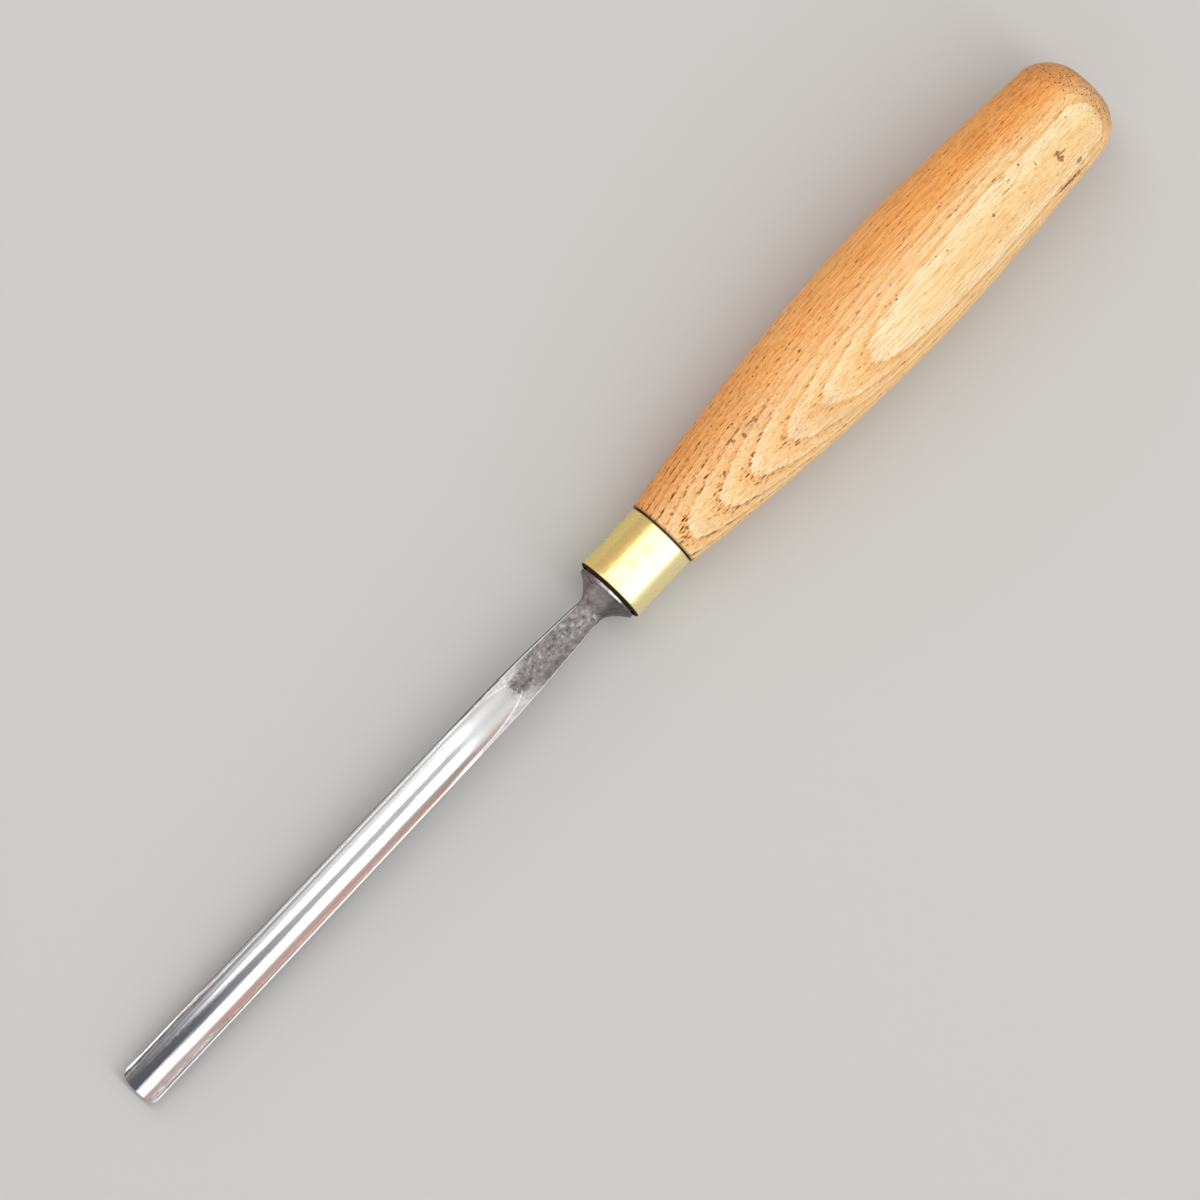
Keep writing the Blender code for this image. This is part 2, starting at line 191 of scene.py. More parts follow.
class Nodes:
    """Adds nodes to a node tree, each with its inputs and settings in one call."""

    def __init__(self, tree: bpy.types.NodeTree) -> None:
        """Starts on an empty or existing tree."""
        self.tree = tree

    def add(
        self, kind: str, inputs: dict[str | int, Value] | None = None, **settings: object
    ) -> bpy.types.Node:
        """Adds a node.

        Args:
            kind: The node's type.
            inputs: Values or sockets for its inputs, by name or number.
            **settings: Properties of the node.

        Returns:
            The node.
        """
        node = self.tree.nodes.new(kind)
        for name, value in settings.items():
            setattr(node, name, value)
        for key, value in (inputs or {}).items():
            self.put(node.inputs[key], value)
        return node

    def put(self, socket: Socket, value: Value) -> None:
        """Links a socket to the input, or sets the input to a plain value.

        Args:
            socket: The input.
            value: What it gets. A colour has three parts.
        """
        if isinstance(value, bpy.types.NodeSocket):
            self.tree.links.new(value, socket)
        elif socket.type == "RGBA":
            socket.default_value = (*value, 1.0)
        else:
            socket.default_value = value

    def math(self, operation: str, *values: Value) -> Socket:
        """The result of a Math node on the values."""
        return self.add("ShaderNodeMath", dict(enumerate(values)), operation=operation).outputs[0]

    def plus(self, first: Value, second: Value) -> Socket:
        """The sum of two values."""
        return self.math("ADD", first, second)

    def minus(self, first: Value, second: Value) -> Socket:
        """The first value less the second."""
        return self.math("SUBTRACT", first, second)

    def times(self, first: Value, second: Value) -> Socket:
        """The product of two values."""
        return self.math("MULTIPLY", first, second)

    def vector(self, operation: str, *values: Value) -> Socket:
        """The result of a Vector Math node, which is a number for a dot product or a length."""
        node = self.add("ShaderNodeVectorMath", dict(enumerate(values)), operation=operation)
        return node.outputs["Value" if operation in ("DOT_PRODUCT", "LENGTH") else "Vector"]

    def scaled(self, vector: Value, *scale: float) -> Socket:
        """The vector with each of its parts multiplied by its own number."""
        return self.vector("MULTIPLY", vector, tuple(scale))

    def parts(self, vector: Value) -> tuple[Socket, ...]:
        """The three parts of a vector."""
        return tuple(self.add("ShaderNodeSeparateXYZ", {0: vector}).outputs)

    def step(self, value: Value, low: Value, high: Value) -> Socket:
        """A smooth step from 0 at low to 1 at high."""
        inputs = {"Value": value, "From Min": low, "From Max": high}
        return self.add("ShaderNodeMapRange", inputs, interpolation_type="SMOOTHSTEP").outputs[0]

    def spread(self, value: Value, low: Value, high: Value) -> Socket:
        """A value from 0 to 1 taken to the range from low to high."""
        return self.add("ShaderNodeMapRange", {"Value": value, "To Min": low, "To Max": high}).outputs[0]

    def noise(self, vector: Value, scale: Value, detail: float = 2.0, roughness: float = 0.5) -> Socket:
        """A noise texture's value, from 0 to 1."""
        inputs = {"Vector": vector, "Scale": scale, "Detail": detail, "Roughness": roughness}
        return self.add("ShaderNodeTexNoise", inputs).outputs["Fac"]

    def attribute(self, name: str) -> Socket:
        """The value of one of the mesh's attributes."""
        return self.add("ShaderNodeAttribute", attribute_name=name).outputs["Fac"]

    def between(self, share: Value, first: Value, second: Value) -> Socket:
        """Mixes two values by a share of the second."""
        return self.add("ShaderNodeMix", {0: share, 2: first, 3: second}).outputs[0]

    def blend(self, share: Value, first: Value, second: Value, blend_type: str = "MIX") -> Socket:
        """Mixes two colours.

        Args:
            share: Share of the second colour.
            first: The first colour.
            second: The second colour.
            blend_type: How the second is laid over the first.

        Returns:
            The colour.
        """
        node = self.add("ShaderNodeMix", data_type="RGBA", blend_type=blend_type)
        for name, value in (("Factor_Float", share), ("A_Color", first), ("B_Color", second)):
            self.put(next(i for i in node.inputs if i.identifier == name), value)
        return next(o for o in node.outputs if o.identifier == "Result_Color")

    def tint(self, share: Value, base: Value, colour: Value) -> Socket:
        """Multiplies a colour by a second one, by a share."""
        return self.blend(share, base, colour, "MULTIPLY")

    def ramp(self, share: Value, stops: Stops) -> Socket:
        """A colour ramp.

        Args:
            share: Where to read the ramp, from 0 to 1.
            stops: Places and their colours, in order.

        Returns:
            The colour.
        """
        node = self.add("ShaderNodeValToRGB", {"Fac": share})
        elements = node.color_ramp.elements
        while len(elements) < len(stops):
            elements.new(0.5)
        for element, (place, colour) in zip(elements, stops):
            element.position = place
            element.color = (*colour, 1.0)
        return node.outputs["Color"]

    def bump(self, height: Value, strength: float, distance: float) -> Socket:
        """The normal of a surface with this relief, whose distance is in metres."""
        inputs = {"Height": height, "Strength": strength, "Distance": distance}
        return self.add("ShaderNodeBump", inputs).outputs["Normal"]

    def group(self, tree: bpy.types.NodeTree, inputs: dict[str, Value]) -> Socket:
        """Places a shader node group.

        Args:
            tree: The group's tree.
            inputs: Its own values for the group's inputs.

        Returns:
            The group's first output.
        """
        node = self.add("ShaderNodeGroup")
        node.node_tree = tree
        for name, value in inputs.items():
            self.put(node.inputs[name], value)
        return node.outputs[0]


FLOAT = "NodeSocketFloat"
VECTOR = "NodeSocketVector"


def new_group(
    name: str, inputs: dict[str, str], outputs: dict[str, str]
) -> tuple[Nodes, dict[str, Socket], bpy.types.Node]:
    """Starts a shader node group.

    Args:
        name: Name of the group.
        inputs: Its inputs and their types.
        outputs: Its outputs and their types.

    Returns:
        The group's nodes, its input sockets by name, and its output node.
    """
    tree = bpy.data.node_groups.new(name, "ShaderNodeTree")
    for label, kind in inputs.items():
        tree.interface.new_socket(label, in_out="INPUT", socket_type=kind)
    for label, kind in outputs.items():
        tree.interface.new_socket(label, in_out="OUTPUT", socket_type=kind)
    nodes = Nodes(tree)
    given = {socket.name: socket for socket in nodes.add("NodeGroupInput").outputs if socket.name}
    return nodes, given, nodes.add("NodeGroupOutput")


class Effects:
    """Surface effects that the finishes share, each a shader node group that is built once."""

    def __init__(self) -> None:
        """Builds the groups."""
        self.mark = self.build_mark()
        self.flecks = self.build_flecks()
        self.hairlines = self.build_hairlines()
        self.blotches = self.build_blotches()

    @staticmethod
    def build_mark() -> bpy.types.NodeTree:
        """Builds one spot, stain or scuff: an ellipsoid with ragged edges, as a mask.

        Returns:
            The group's tree.
        """
        inputs = {"Position": VECTOR, "Centre": VECTOR, "Size": VECTOR, "Ragged": FLOAT, "Grain": FLOAT}
        nodes, given, out = new_group("mark", inputs, {"Mask": FLOAT})
        from_centre = nodes.vector("SUBTRACT", given["Position"], given["Centre"])
        away = nodes.vector("LENGTH", nodes.vector("DIVIDE", from_centre, given["Size"]))
        texture = nodes.noise(given["Position"], given["Grain"], 3.0)
        rough = nodes.times(nodes.minus(texture, 0.5), given["Ragged"])
        nodes.put(out.inputs["Mask"], nodes.step(nodes.plus(away, rough), 1.0, 0.55))
        return nodes.tree

    @staticmethod
    def build_flecks() -> bpy.types.NodeTree:
        """Builds scattered pores, pits or specks: at most one in each cell of a stretched lattice.

        Returns:
            The group's tree.
        """
        inputs = {"Position": VECTOR, "Cell": VECTOR, "Radius": FLOAT, "Density": FLOAT}
        nodes, given, out = new_group("flecks", inputs, {"Mask": FLOAT})
        stretched = nodes.vector("DIVIDE", given["Position"], given["Cell"])
        cells = nodes.add("ShaderNodeTexVoronoi", {"Vector": stretched, "Scale": 1.0}, feature="F1")
        chance = nodes.add("ShaderNodeSeparateColor", {"Color": cells.outputs["Color"]}).outputs
        there = nodes.math("LESS_THAN", chance[0], given["Density"])
        size = nodes.times(given["Radius"], nodes.spread(chance[1], 0.6, 1.25))
        spot = nodes.step(cells.outputs["Distance"], size, nodes.times(size, 0.55))
        nodes.put(out.inputs["Mask"], nodes.times(there, spot))
        return nodes.tree

    @staticmethod
    def build_hairlines() -> bpy.types.NodeTree:
        """Builds fine lines along the tool, as polishing, wiping and fibres leave them.

        Returns:
            The group's tree.
        """
        inputs = {"Position": VECTOR, "Along": FLOAT, "Across": FLOAT}
        nodes, given, out = new_group("hairlines", inputs, {"Value": FLOAT})
        scales = {0: given["Along"], 1: given["Across"], 2: given["Across"]}
        stretch = nodes.add("ShaderNodeCombineXYZ", scales).outputs[0]
        spread = nodes.vector("MULTIPLY", given["Position"], stretch)
        nodes.put(out.inputs["Value"], nodes.noise(spread, 1.0, 4.0, 0.65))
        return nodes.tree

    @staticmethod
    def build_blotches() -> bpy.types.NodeTree:
        """Builds soft patches of tarnish and hand grime, as a mask.

        Returns:
            The group's tree.
        """
        inputs = {"Position": VECTOR, "Size": FLOAT, "Cover": FLOAT}
        nodes, given, out = new_group("blotches", inputs, {"Mask": FLOAT})
        texture = nodes.noise(given["Position"], nodes.math("DIVIDE", 1.0, given["Size"]), 4.0)
        threshold = nodes.minus(0.75, nodes.times(given["Cover"], 0.5))
        nodes.put(out.inputs["Mask"], nodes.step(texture, threshold, nodes.plus(threshold, 0.18)))
        return nodes.tree

    def place_mark(
        self, nodes: Nodes, position: Socket, centre: Point, size: Point, ragged: float, grain: float
    ) -> Socket:
        """Places one mark in a material.

        Args:
            nodes: The material's nodes.
            position: Place in millimetres.
            centre: Where its middle is.
            size: Its half lengths along the tool, across it and upwards.
            ragged: How uneven its edge is.
            grain: How fine the unevenness is.

        Returns:
            Its mask.
        """
        inputs = {"Position": position, "Centre": centre, "Size": size, "Ragged": ragged, "Grain": grain}
        return nodes.group(self.mark, inputs)

    def scatter(self, nodes: Nodes, position: Socket, cell: Point, radius: float, density: Value) -> Socket:
        """Scatters flecks over a material.

        Args:
            nodes: The material's nodes.
            position: Place in millimetres.
            cell: Lengths of a cell, of which each may hold one fleck.
            radius: Radius of the flecks, as a share of a cell.
            density: Share of the cells that hold one.

        Returns:
            Their mask.
        """
        inputs = {"Position": position, "Cell": cell, "Radius": radius, "Density": density}
        return nodes.group(self.flecks, inputs)

    def lines(self, nodes: Nodes, position: Socket, along: float, across: float) -> Socket:
        """Places fine lines, from 0 to 1, by how often they change along and across the tool."""
        return nodes.group(self.hairlines, {"Position": position, "Along": along, "Across": across})

    def patches(self, nodes: Nodes, position: Socket, size: float, cover: float) -> Socket:
        """Places soft patches of this size that cover about this share, as a mask."""
        return nodes.group(self.blotches, {"Position": position, "Size": size, "Cover": cover})


@dataclass(frozen=True)
class Finish:
    """What every finish needs: the shared effects, and where the tool's frame lies."""

    effects: Effects
    place: ToolFrame

    def start(self, name: str) -> tuple[Nodes, bpy.types.Node, Socket]:
        """Makes a material.

        Args:
            name: Name of the material.

        Returns:
            Its nodes, its Principled BSDF, and the position in millimetres of the tool's own frame.
        """
        material = bpy.data.materials.new(name)
        material.use_nodes = True
        nodes = Nodes(material.node_tree)
        inverse = self.place.matrix.inverted()
        coordinates = nodes.add("ShaderNodeTexCoord").outputs["Object"]
        mapping = nodes.add("ShaderNodeMapping", {"Vector": coordinates, "Scale": (TO_MM, TO_MM, TO_MM)})
        mapping.inputs["Rotation"].default_value = inverse.to_euler()
        mapping.inputs["Location"].default_value = inverse.translation * TO_MM
        return nodes, material.node_tree.nodes["Principled BSDF"], mapping.outputs["Vector"]

    @staticmethod
    def material_of(nodes: Nodes) -> bpy.types.Material:
        """The material that owns the nodes."""
        return next(m for m in bpy.data.materials if m.node_tree == nodes.tree)


@dataclass(frozen=True)
class ForgedSteel(Finish):
    """Carbon steel: a polished flute, a ground bevel and edge, and dark pitted forging skin behind."""

    skin_tints: Stops = (
        (0.32, (0.07, 0.062, 0.062)),
        (0.45, (0.165, 0.152, 0.15)),
        (0.56, (0.225, 0.203, 0.195)),
        (0.70, (0.42, 0.39, 0.37)),
    )
    pit_colour: Colour = (0.06, 0.052, 0.055)
    painted_shade_colour: Colour = (0.09, 0.08, 0.078)
    rubbed_left_colour: Colour = (0.56, 0.54, 0.50)
    rubbed_right_colour: Colour = (0.50, 0.485, 0.465)
    rubbed_flare_colour: Colour = (0.50, 0.46, 0.44)
    worn_highlight_skin_colour: Colour = (0.66, 0.64, 0.63)
    ground_colour: Colour = (0.58, 0.58, 0.59)
    clouded_colour: Colour = (0.44, 0.42, 0.40)
    warm_reflection_colour: Colour = (0.62, 0.49, 0.43)
    tongue_tint: Colour = (0.97, 0.95, 0.915)
    scratch_colour: Colour = (0.96, 0.86, 0.80)
    worn_highlight_colour: Colour = (0.78, 0.75, 0.73)
    scuffed_highlight_colour: Colour = (0.96, 0.93, 0.90)
    oxide_and_shade_colour: Colour = (0.08, 0.072, 0.068)
    scratches: tuple[tuple[Point, Point], ...] = (
        ((9.0, -2.95, 1.4), (10.0, 0.62, 2.0)),
        ((20.0, 3.45, 2.0), (8.0, 0.40, 1.5)),
    )
    relief: float = 0.00005

    def skin(self, nodes: Nodes, position: Socket, seat: float) -> tuple[Socket, Socket]:
        """The dark forging skin, rubbed where hands and cloths reach it, with painted shade on the right side
        of the neck.

        Args:
            nodes: The material's nodes.
            position: Place in millimetres.
            seat: Where the bolster ends along the tool, in millimetres.

        Returns:
            The skin's colour and its height.
        """
        along, across, _ = nodes.parts(position)
        pits = self.effects.scatter(nodes, position, (0.9, 0.65, 0.65), 0.4, 0.22)
        tints = nodes.ramp(nodes.noise(position, 1.0, 6.0, 0.7), self.skin_tints)
        colour = nodes.blend(nodes.times(pits, 0.5), tints, self.pit_colour)
        # Painted shade: the right side of the neck is darkened where it lies in shade.
        painted_shade = nodes.times(nodes.step(across, -1.3, -2.0), nodes.step(along, 98.0, 102.0))
        colour = nodes.blend(nodes.times(painted_shade, 0.5), colour, self.painted_shade_colour)
        patchy = nodes.spread(nodes.step(nodes.noise(position, 1.6, 4.0, 0.6), 0.4, 0.6), 0.6, 1.0)
        left = nodes.times(nodes.step(across, 1.5, 2.1), nodes.step(along, 104.0, 97.5))
        colour = nodes.blend(nodes.times(left, patchy), colour, self.rubbed_left_colour)
        right = nodes.times(nodes.step(across, -1.4, -1.9), nodes.step(along, 104.0, 96.5))
        colour = nodes.blend(nodes.times(right, nodes.times(patchy, 0.95)), colour, self.rubbed_right_colour)
        off_middle = nodes.math("ABSOLUTE", nodes.minus(across, 0.5))
        flare = nodes.times(nodes.step(along, seat - 4.4, seat - 2.4), nodes.step(off_middle, 2.9, 1.2))
        colour = nodes.blend(nodes.times(flare, nodes.times(patchy, 0.8)), colour, self.rubbed_flare_colour)
        lumps = nodes.noise(position, 1.3, 4.0, 0.6)
        return colour, nodes.minus(nodes.times(lumps, 1.4), pits)

    def scratched(self, nodes: Nodes, position: Socket) -> Socket:
        """Where honing and wiping left bright scratches inside the flute, beside its lands.

        Args:
            nodes: The material's nodes.
            position: Place in millimetres.

        Returns:
            A mask of the scratches.
        """
        lines = self.effects.lines(nodes, position, 0.25, 7.0)
        masks = [
            self.effects.place_mark(nodes, position, centre, size, ragged=0.9, grain=0.9)
            for centre, size in self.scratches
        ]
        return nodes.times(nodes.math("MAXIMUM", *masks), nodes.step(lines, 0.48, 0.6))

    def worn(self, nodes: Nodes, position: Socket) -> tuple[Socket, Socket]:
        """Where hands and cloths keep the steel bright, and where bright lines are painted in as highlights.

        Args:
            nodes: The material's nodes.
            position: Place in millimetres.

        Returns:
            A mask of the lands, the tongue's lip and the bolster's rim, partly wear and partly painted
            highlight, and one of the lands alone, where scuffing and a painted highlight make them nearly
            white.
        """
        along, across, _ = nodes.parts(position)
        opening, outward, rim = [nodes.attribute(name) for name in ("opening", "outward", "rim")]
        left = nodes.step(across, -0.5, 0.5)
        neck = nodes.step(along, 88.0, 102.0)
        # The left land widens inwards behind the tip, and narrows again towards the neck.
        inward = nodes.spread(nodes.step(along, 10.0, 25.0), -0.02, 0.055)
        inward = nodes.plus(inward, nodes.times(nodes.step(along, 16.0, 22.0), 0.06))
        inward = nodes.minus(inward, nodes.times(neck, 0.065))
        shifted = nodes.plus(outward, nodes.times(inward, left))
        low = nodes.spread(neck, nodes.spread(left, 0.915, 0.9), nodes.spread(left, 0.925, 0.89))
        arris = nodes.times(left, nodes.step(shifted, 0.982, 1.0))
        side = nodes.times(nodes.step(shifted, low, 0.94), nodes.minus(1.0, arris))
        side = nodes.times(side, nodes.spread(nodes.times(left, neck), 1.0, 0.6))
        # The lip is a thin line round the end of the flute's tongue.
        lip = nodes.times(nodes.step(opening, -0.28, -0.1), nodes.step(opening, 0.26, 0.1))
        lip = nodes.times(lip, nodes.times(nodes.step(along, 76.0, 84.0), nodes.step(along, 98.9, 97.6)))
        lip = nodes.times(lip, nodes.spread(left, 1.0, 0.3))
        patchy = nodes.step(nodes.noise(position, 2.5, 4.0, 0.6), 0.38, 0.5)
        # The lands and lip are partly worn bright steel and partly a painted highlight, where they would
        # catch the light.
        smooth = nodes.times(nodes.math("MAXIMUM", side, lip), nodes.spread(patchy, 0.75, 1.0))
        # Painted highlight: the rim is brightest on its right half, where the light catches it.
        bright = nodes.times(nodes.step(across, 0.4, -0.7), nodes.step(across, -3.4, -2.4))
        rim = nodes.times(rim, nodes.times(patchy, nodes.spread(bright, 0.3, 1.0)))
        # Painted highlight: the lands and lip, all but the left land near the tip, are also painted nearly
        # white and less metallic, partly as scuffing.
        near = nodes.times(left, nodes.minus(1.0, nodes.step(along, 16.0, 26.0)))
        scuffed_highlight = nodes.times(smooth, nodes.minus(1.0, near))
        return nodes.math("MAXIMUM", smooth, rim), scuffed_highlight

    def polished(
        self, nodes: Nodes, position: Socket, worn: Socket, scuffed_highlight: Socket, scratched: Socket
    ) -> Socket:
        """The colour of the polished and ground steel, with a warm reflection painted on its right side.

        Args:
            nodes: The material's nodes.
            position: Place in millimetres.
            worn: Mask of the bright places, partly wear and partly painted highlight.
            scuffed_highlight: Mask of the lands, where scuffing and a painted highlight make them nearly
                white.
            scratched: Mask of the scratches.

        Returns:
            The colour.
        """
        along, across, _ = nodes.parts(position)
        clouds = self.effects.patches(nodes, position, size=6.0, cover=0.45)
        colour = nodes.blend(nodes.times(clouds, 0.25), self.ground_colour, self.clouded_colour)
        # Painted reflection: the steel's right side behind the tip is tinted warm, as a reflection of the
        # warm room.
        warm = nodes.times(nodes.step(across, -2.3, -2.9), nodes.step(along, 14.0, 22.0))
        colour = nodes.blend(warm, colour, self.warm_reflection_colour)
        colour = nodes.tint(nodes.step(along, 82.0, 92.0), colour, self.tongue_tint)
        colour = nodes.blend(scratched, colour, self.scratch_colour)
        # The bright places are partly wear and partly painted highlight.
        colour = nodes.blend(worn, colour, self.worn_highlight_colour)
        return nodes.blend(scuffed_highlight, colour, self.scuffed_highlight_colour)

    def build(self, seat: float) -> bpy.types.Material:
        """Builds the material.

        Args:
            seat: Where the bolster ends along the tool, in millimetres.

        Returns:
            The material. The mesh's attributes say where the steel is forged or worn, and where its sides are
            darkened, partly as oxide and partly as painted shade.
        """
        nodes, shader, position = self.start("forged_steel")
        forged, oxide_and_shade = nodes.attribute("forged"), nodes.attribute("oxide_and_shade")
        lines = self.effects.lines(nodes, position, 0.05, 5.0)
        grit = nodes.noise(position, 2.2, 5.0, 0.62)
        coarse = nodes.noise(position, 0.8, 3.0, 0.6)
        ragged = nodes.times(nodes.minus(nodes.plus(coarse, grit), 1.0), 1.5)
        ragged = nodes.times(ragged, nodes.step(forged, 0.02, 0.2))
        forged = nodes.step(nodes.plus(forged, ragged), 0.2, 0.8)
        worn, scuffed_highlight = self.worn(nodes, position)
        scratched = self.scratched(nodes, position)
        skin, skin_height = self.skin(nodes, position, seat)
        # The bright places lighten the forging skin too, partly as wear and partly as painted highlight.
        skin = nodes.blend(worn, skin, self.worn_highlight_skin_colour)
        steel = nodes.blend(forged, self.polished(nodes, position, worn, scuffed_highlight, scratched), skin)
        # Oxide and painted shade: the blade's sides, back and left arris are made nearly black.
        steel = nodes.blend(nodes.times(oxide_and_shade, 0.9), steel, self.oxide_and_shade_colour)
        nodes.put(shader.inputs["Base Color"], steel)
        metallic = nodes.minus(nodes.spread(forged, 1.0, 0.8), nodes.times(scuffed_highlight, 0.85))
        metallic = nodes.minus(metallic, nodes.times(scratched, 0.45))
        nodes.put(shader.inputs["Metallic"], metallic)
        matt = nodes.times(nodes.step(nodes.parts(position)[0], 80.0, 90.0), 0.36)
        smooth = nodes.plus(nodes.spread(lines, 0.05, 0.17), matt)
        smooth = nodes.plus(smooth, nodes.times(nodes.math("MAXIMUM", scratched, worn), 0.2))
        rough = nodes.between(worn, nodes.spread(grit, 0.36, 0.6), 0.34)
        rough = nodes.between(forged, smooth, rough)
        nodes.put(shader.inputs["Roughness"], nodes.plus(rough, nodes.times(oxide_and_shade, 0.2)))
        line_height = nodes.times(lines, nodes.spread(forged, 0.30, 0.1))
        height = nodes.plus(line_height, nodes.times(skin_height, forged))
        height = nodes.plus(height, nodes.times(scratched, 0.6))
        nodes.put(shader.inputs["Normal"], nodes.bump(height, 0.9, self.relief))
        return self.material_of(nodes)


@dataclass(frozen=True)
class TurnedBrass(Finish):
    """Drawn brass with fine lines round the tube, light tarnish and a few dark specks."""

    brass_colour: Colour = (0.96, 0.765, 0.285)
    tarnish_colour: Colour = (0.72, 0.53, 0.20)
    painted_sheen_colour: Colour = (1.0, 0.87, 0.46)
    speck_colour: Colour = (0.18, 0.12, 0.07)
    # Dark colour of both ends of the tube: grime, and at the front also painted shade.
    grime_colour: Colour = (0.035, 0.022, 0.012)
    relief: float = 0.00002

    def build(self, front: float, back: float) -> bpy.types.Material:
        """Builds the material.

        Args:
            front: Where the tube starts along the tool, in millimetres.
            back: Where it ends.

        Returns:
            The material, with a dark band at both ends of the tube: grime at the back, and at the front
            partly grime and partly painted shade of the gap before the bolster.
        """
        nodes, shader, position = self.start("turned_brass")
        along, across, _ = nodes.parts(position)
        lines = self.effects.lines(nodes, position, 9.0, 0.35)
        clouds = self.effects.patches(nodes, position, size=2.4, cover=0.5)
        specks = self.effects.scatter(nodes, position, (1.6, 1.6, 1.6), 0.09, 0.3)
        colour = nodes.blend(nodes.times(clouds, 0.12), self.brass_colour, self.tarnish_colour)
        colour = nodes.blend(nodes.times(specks, 0.6), colour, self.speck_colour)
        # Painted highlight: the tube's right side is paler, as if the overhead light's haze lay on it.
        colour = nodes.blend(nodes.step(across, -1.0, -4.5), colour, self.painted_sheen_colour)
        # The dark front edge is partly grime and partly painted shade, where the gap before the bolster lies
        # in shade.
        front_grime_and_shade = nodes.step(along, front + 0.42, front + 0.22)
        grime_and_shade = nodes.math("MAXIMUM", front_grime_and_shade, nodes.step(along, back - 0.3, back))
        colour = nodes.blend(grime_and_shade, colour, self.grime_colour)
        nodes.put(shader.inputs["Base Color"], colour)
        nodes.put(shader.inputs["Metallic"], nodes.spread(grime_and_shade, 1.0, 0.0))
        nodes.put(shader.inputs["Specular IOR Level"], nodes.spread(grime_and_shade, 0.5, 0.08))
        rough = nodes.plus(nodes.spread(lines, 0.2, 0.32), nodes.times(clouds, 0.08))
        nodes.put(shader.inputs["Roughness"], nodes.plus(rough, nodes.times(grime_and_shade, 0.5)))
        nodes.put(shader.inputs["Normal"], nodes.bump(lines, 0.25, self.relief))
        return self.material_of(nodes)


@dataclass(frozen=True)
class Stain:
    """A small stain on the upper side of the handle, in millimetres from its throat and from its middle."""

    along: float
    left: float
    length: float
    width: float
    strength: float
    colour: Colour


BROWN = (0.19, 0.042, 0.004)
PURPLE = (0.25, 0.085, 0.03)
STAINS = (
    Stain(19.4, 2.6, 1.0, 0.3, 0.8, PURPLE),
    Stain(19.9, 2.3, 0.5, 0.5, 0.8, PURPLE),
    Stain(21.6, 2.9, 1.2, 0.28, 0.75, PURPLE),
    Stain(22.0, 1.3, 0.5, 0.8, 0.85, PURPLE),
    Stain(24.8, 2.3, 1.6, 0.3, 0.8, PURPLE),
    Stain(25.4, 1.8, 0.5, 0.5, 0.75, PURPLE),
    Stain(3.2, 1.2, 0.5, 0.35, 0.8, BROWN),
    Stain(39.5, 4.6, 0.45, 0.3, 0.97, BROWN),
    Stain(22.0, 4.4, 0.4, 0.25, 0.75, BROWN),
    Stain(85.4, -2.6, 1.4, 0.2, 0.7, BROWN),
    Stain(86.3, -0.5, 1.5, 0.25, 0.4, PURPLE),
    Stain(80.7, -3.9, 0.42, 0.34, 0.95, BROWN),
    Stain(96.7, -4.4, 0.9, 0.4, 0.95, PURPLE),
    Stain(96.5, -5.6, 0.7, 0.8, 0.85, PURPLE),
    Stain(97.4, -5.0, 1.3, 0.25, 0.7, PURPLE),
    Stain(98.8, -8.2, 1.0, 0.4, 0.8, PURPLE),
    Stain(92.6, -2.9, 0.2, 0.6, 0.8, BROWN),
    Stain(57.9, -1.6, 0.38, 0.28, 0.95, BROWN),
    Stain(58.4, -1.0, 0.22, 0.22, 0.7, BROWN),
    Stain(95.5, -9.6, 4.2, 0.28, 0.95, BROWN),
    Stain(89.0, 7.4, 5.0, 2.6, 0.12, BROWN),
)


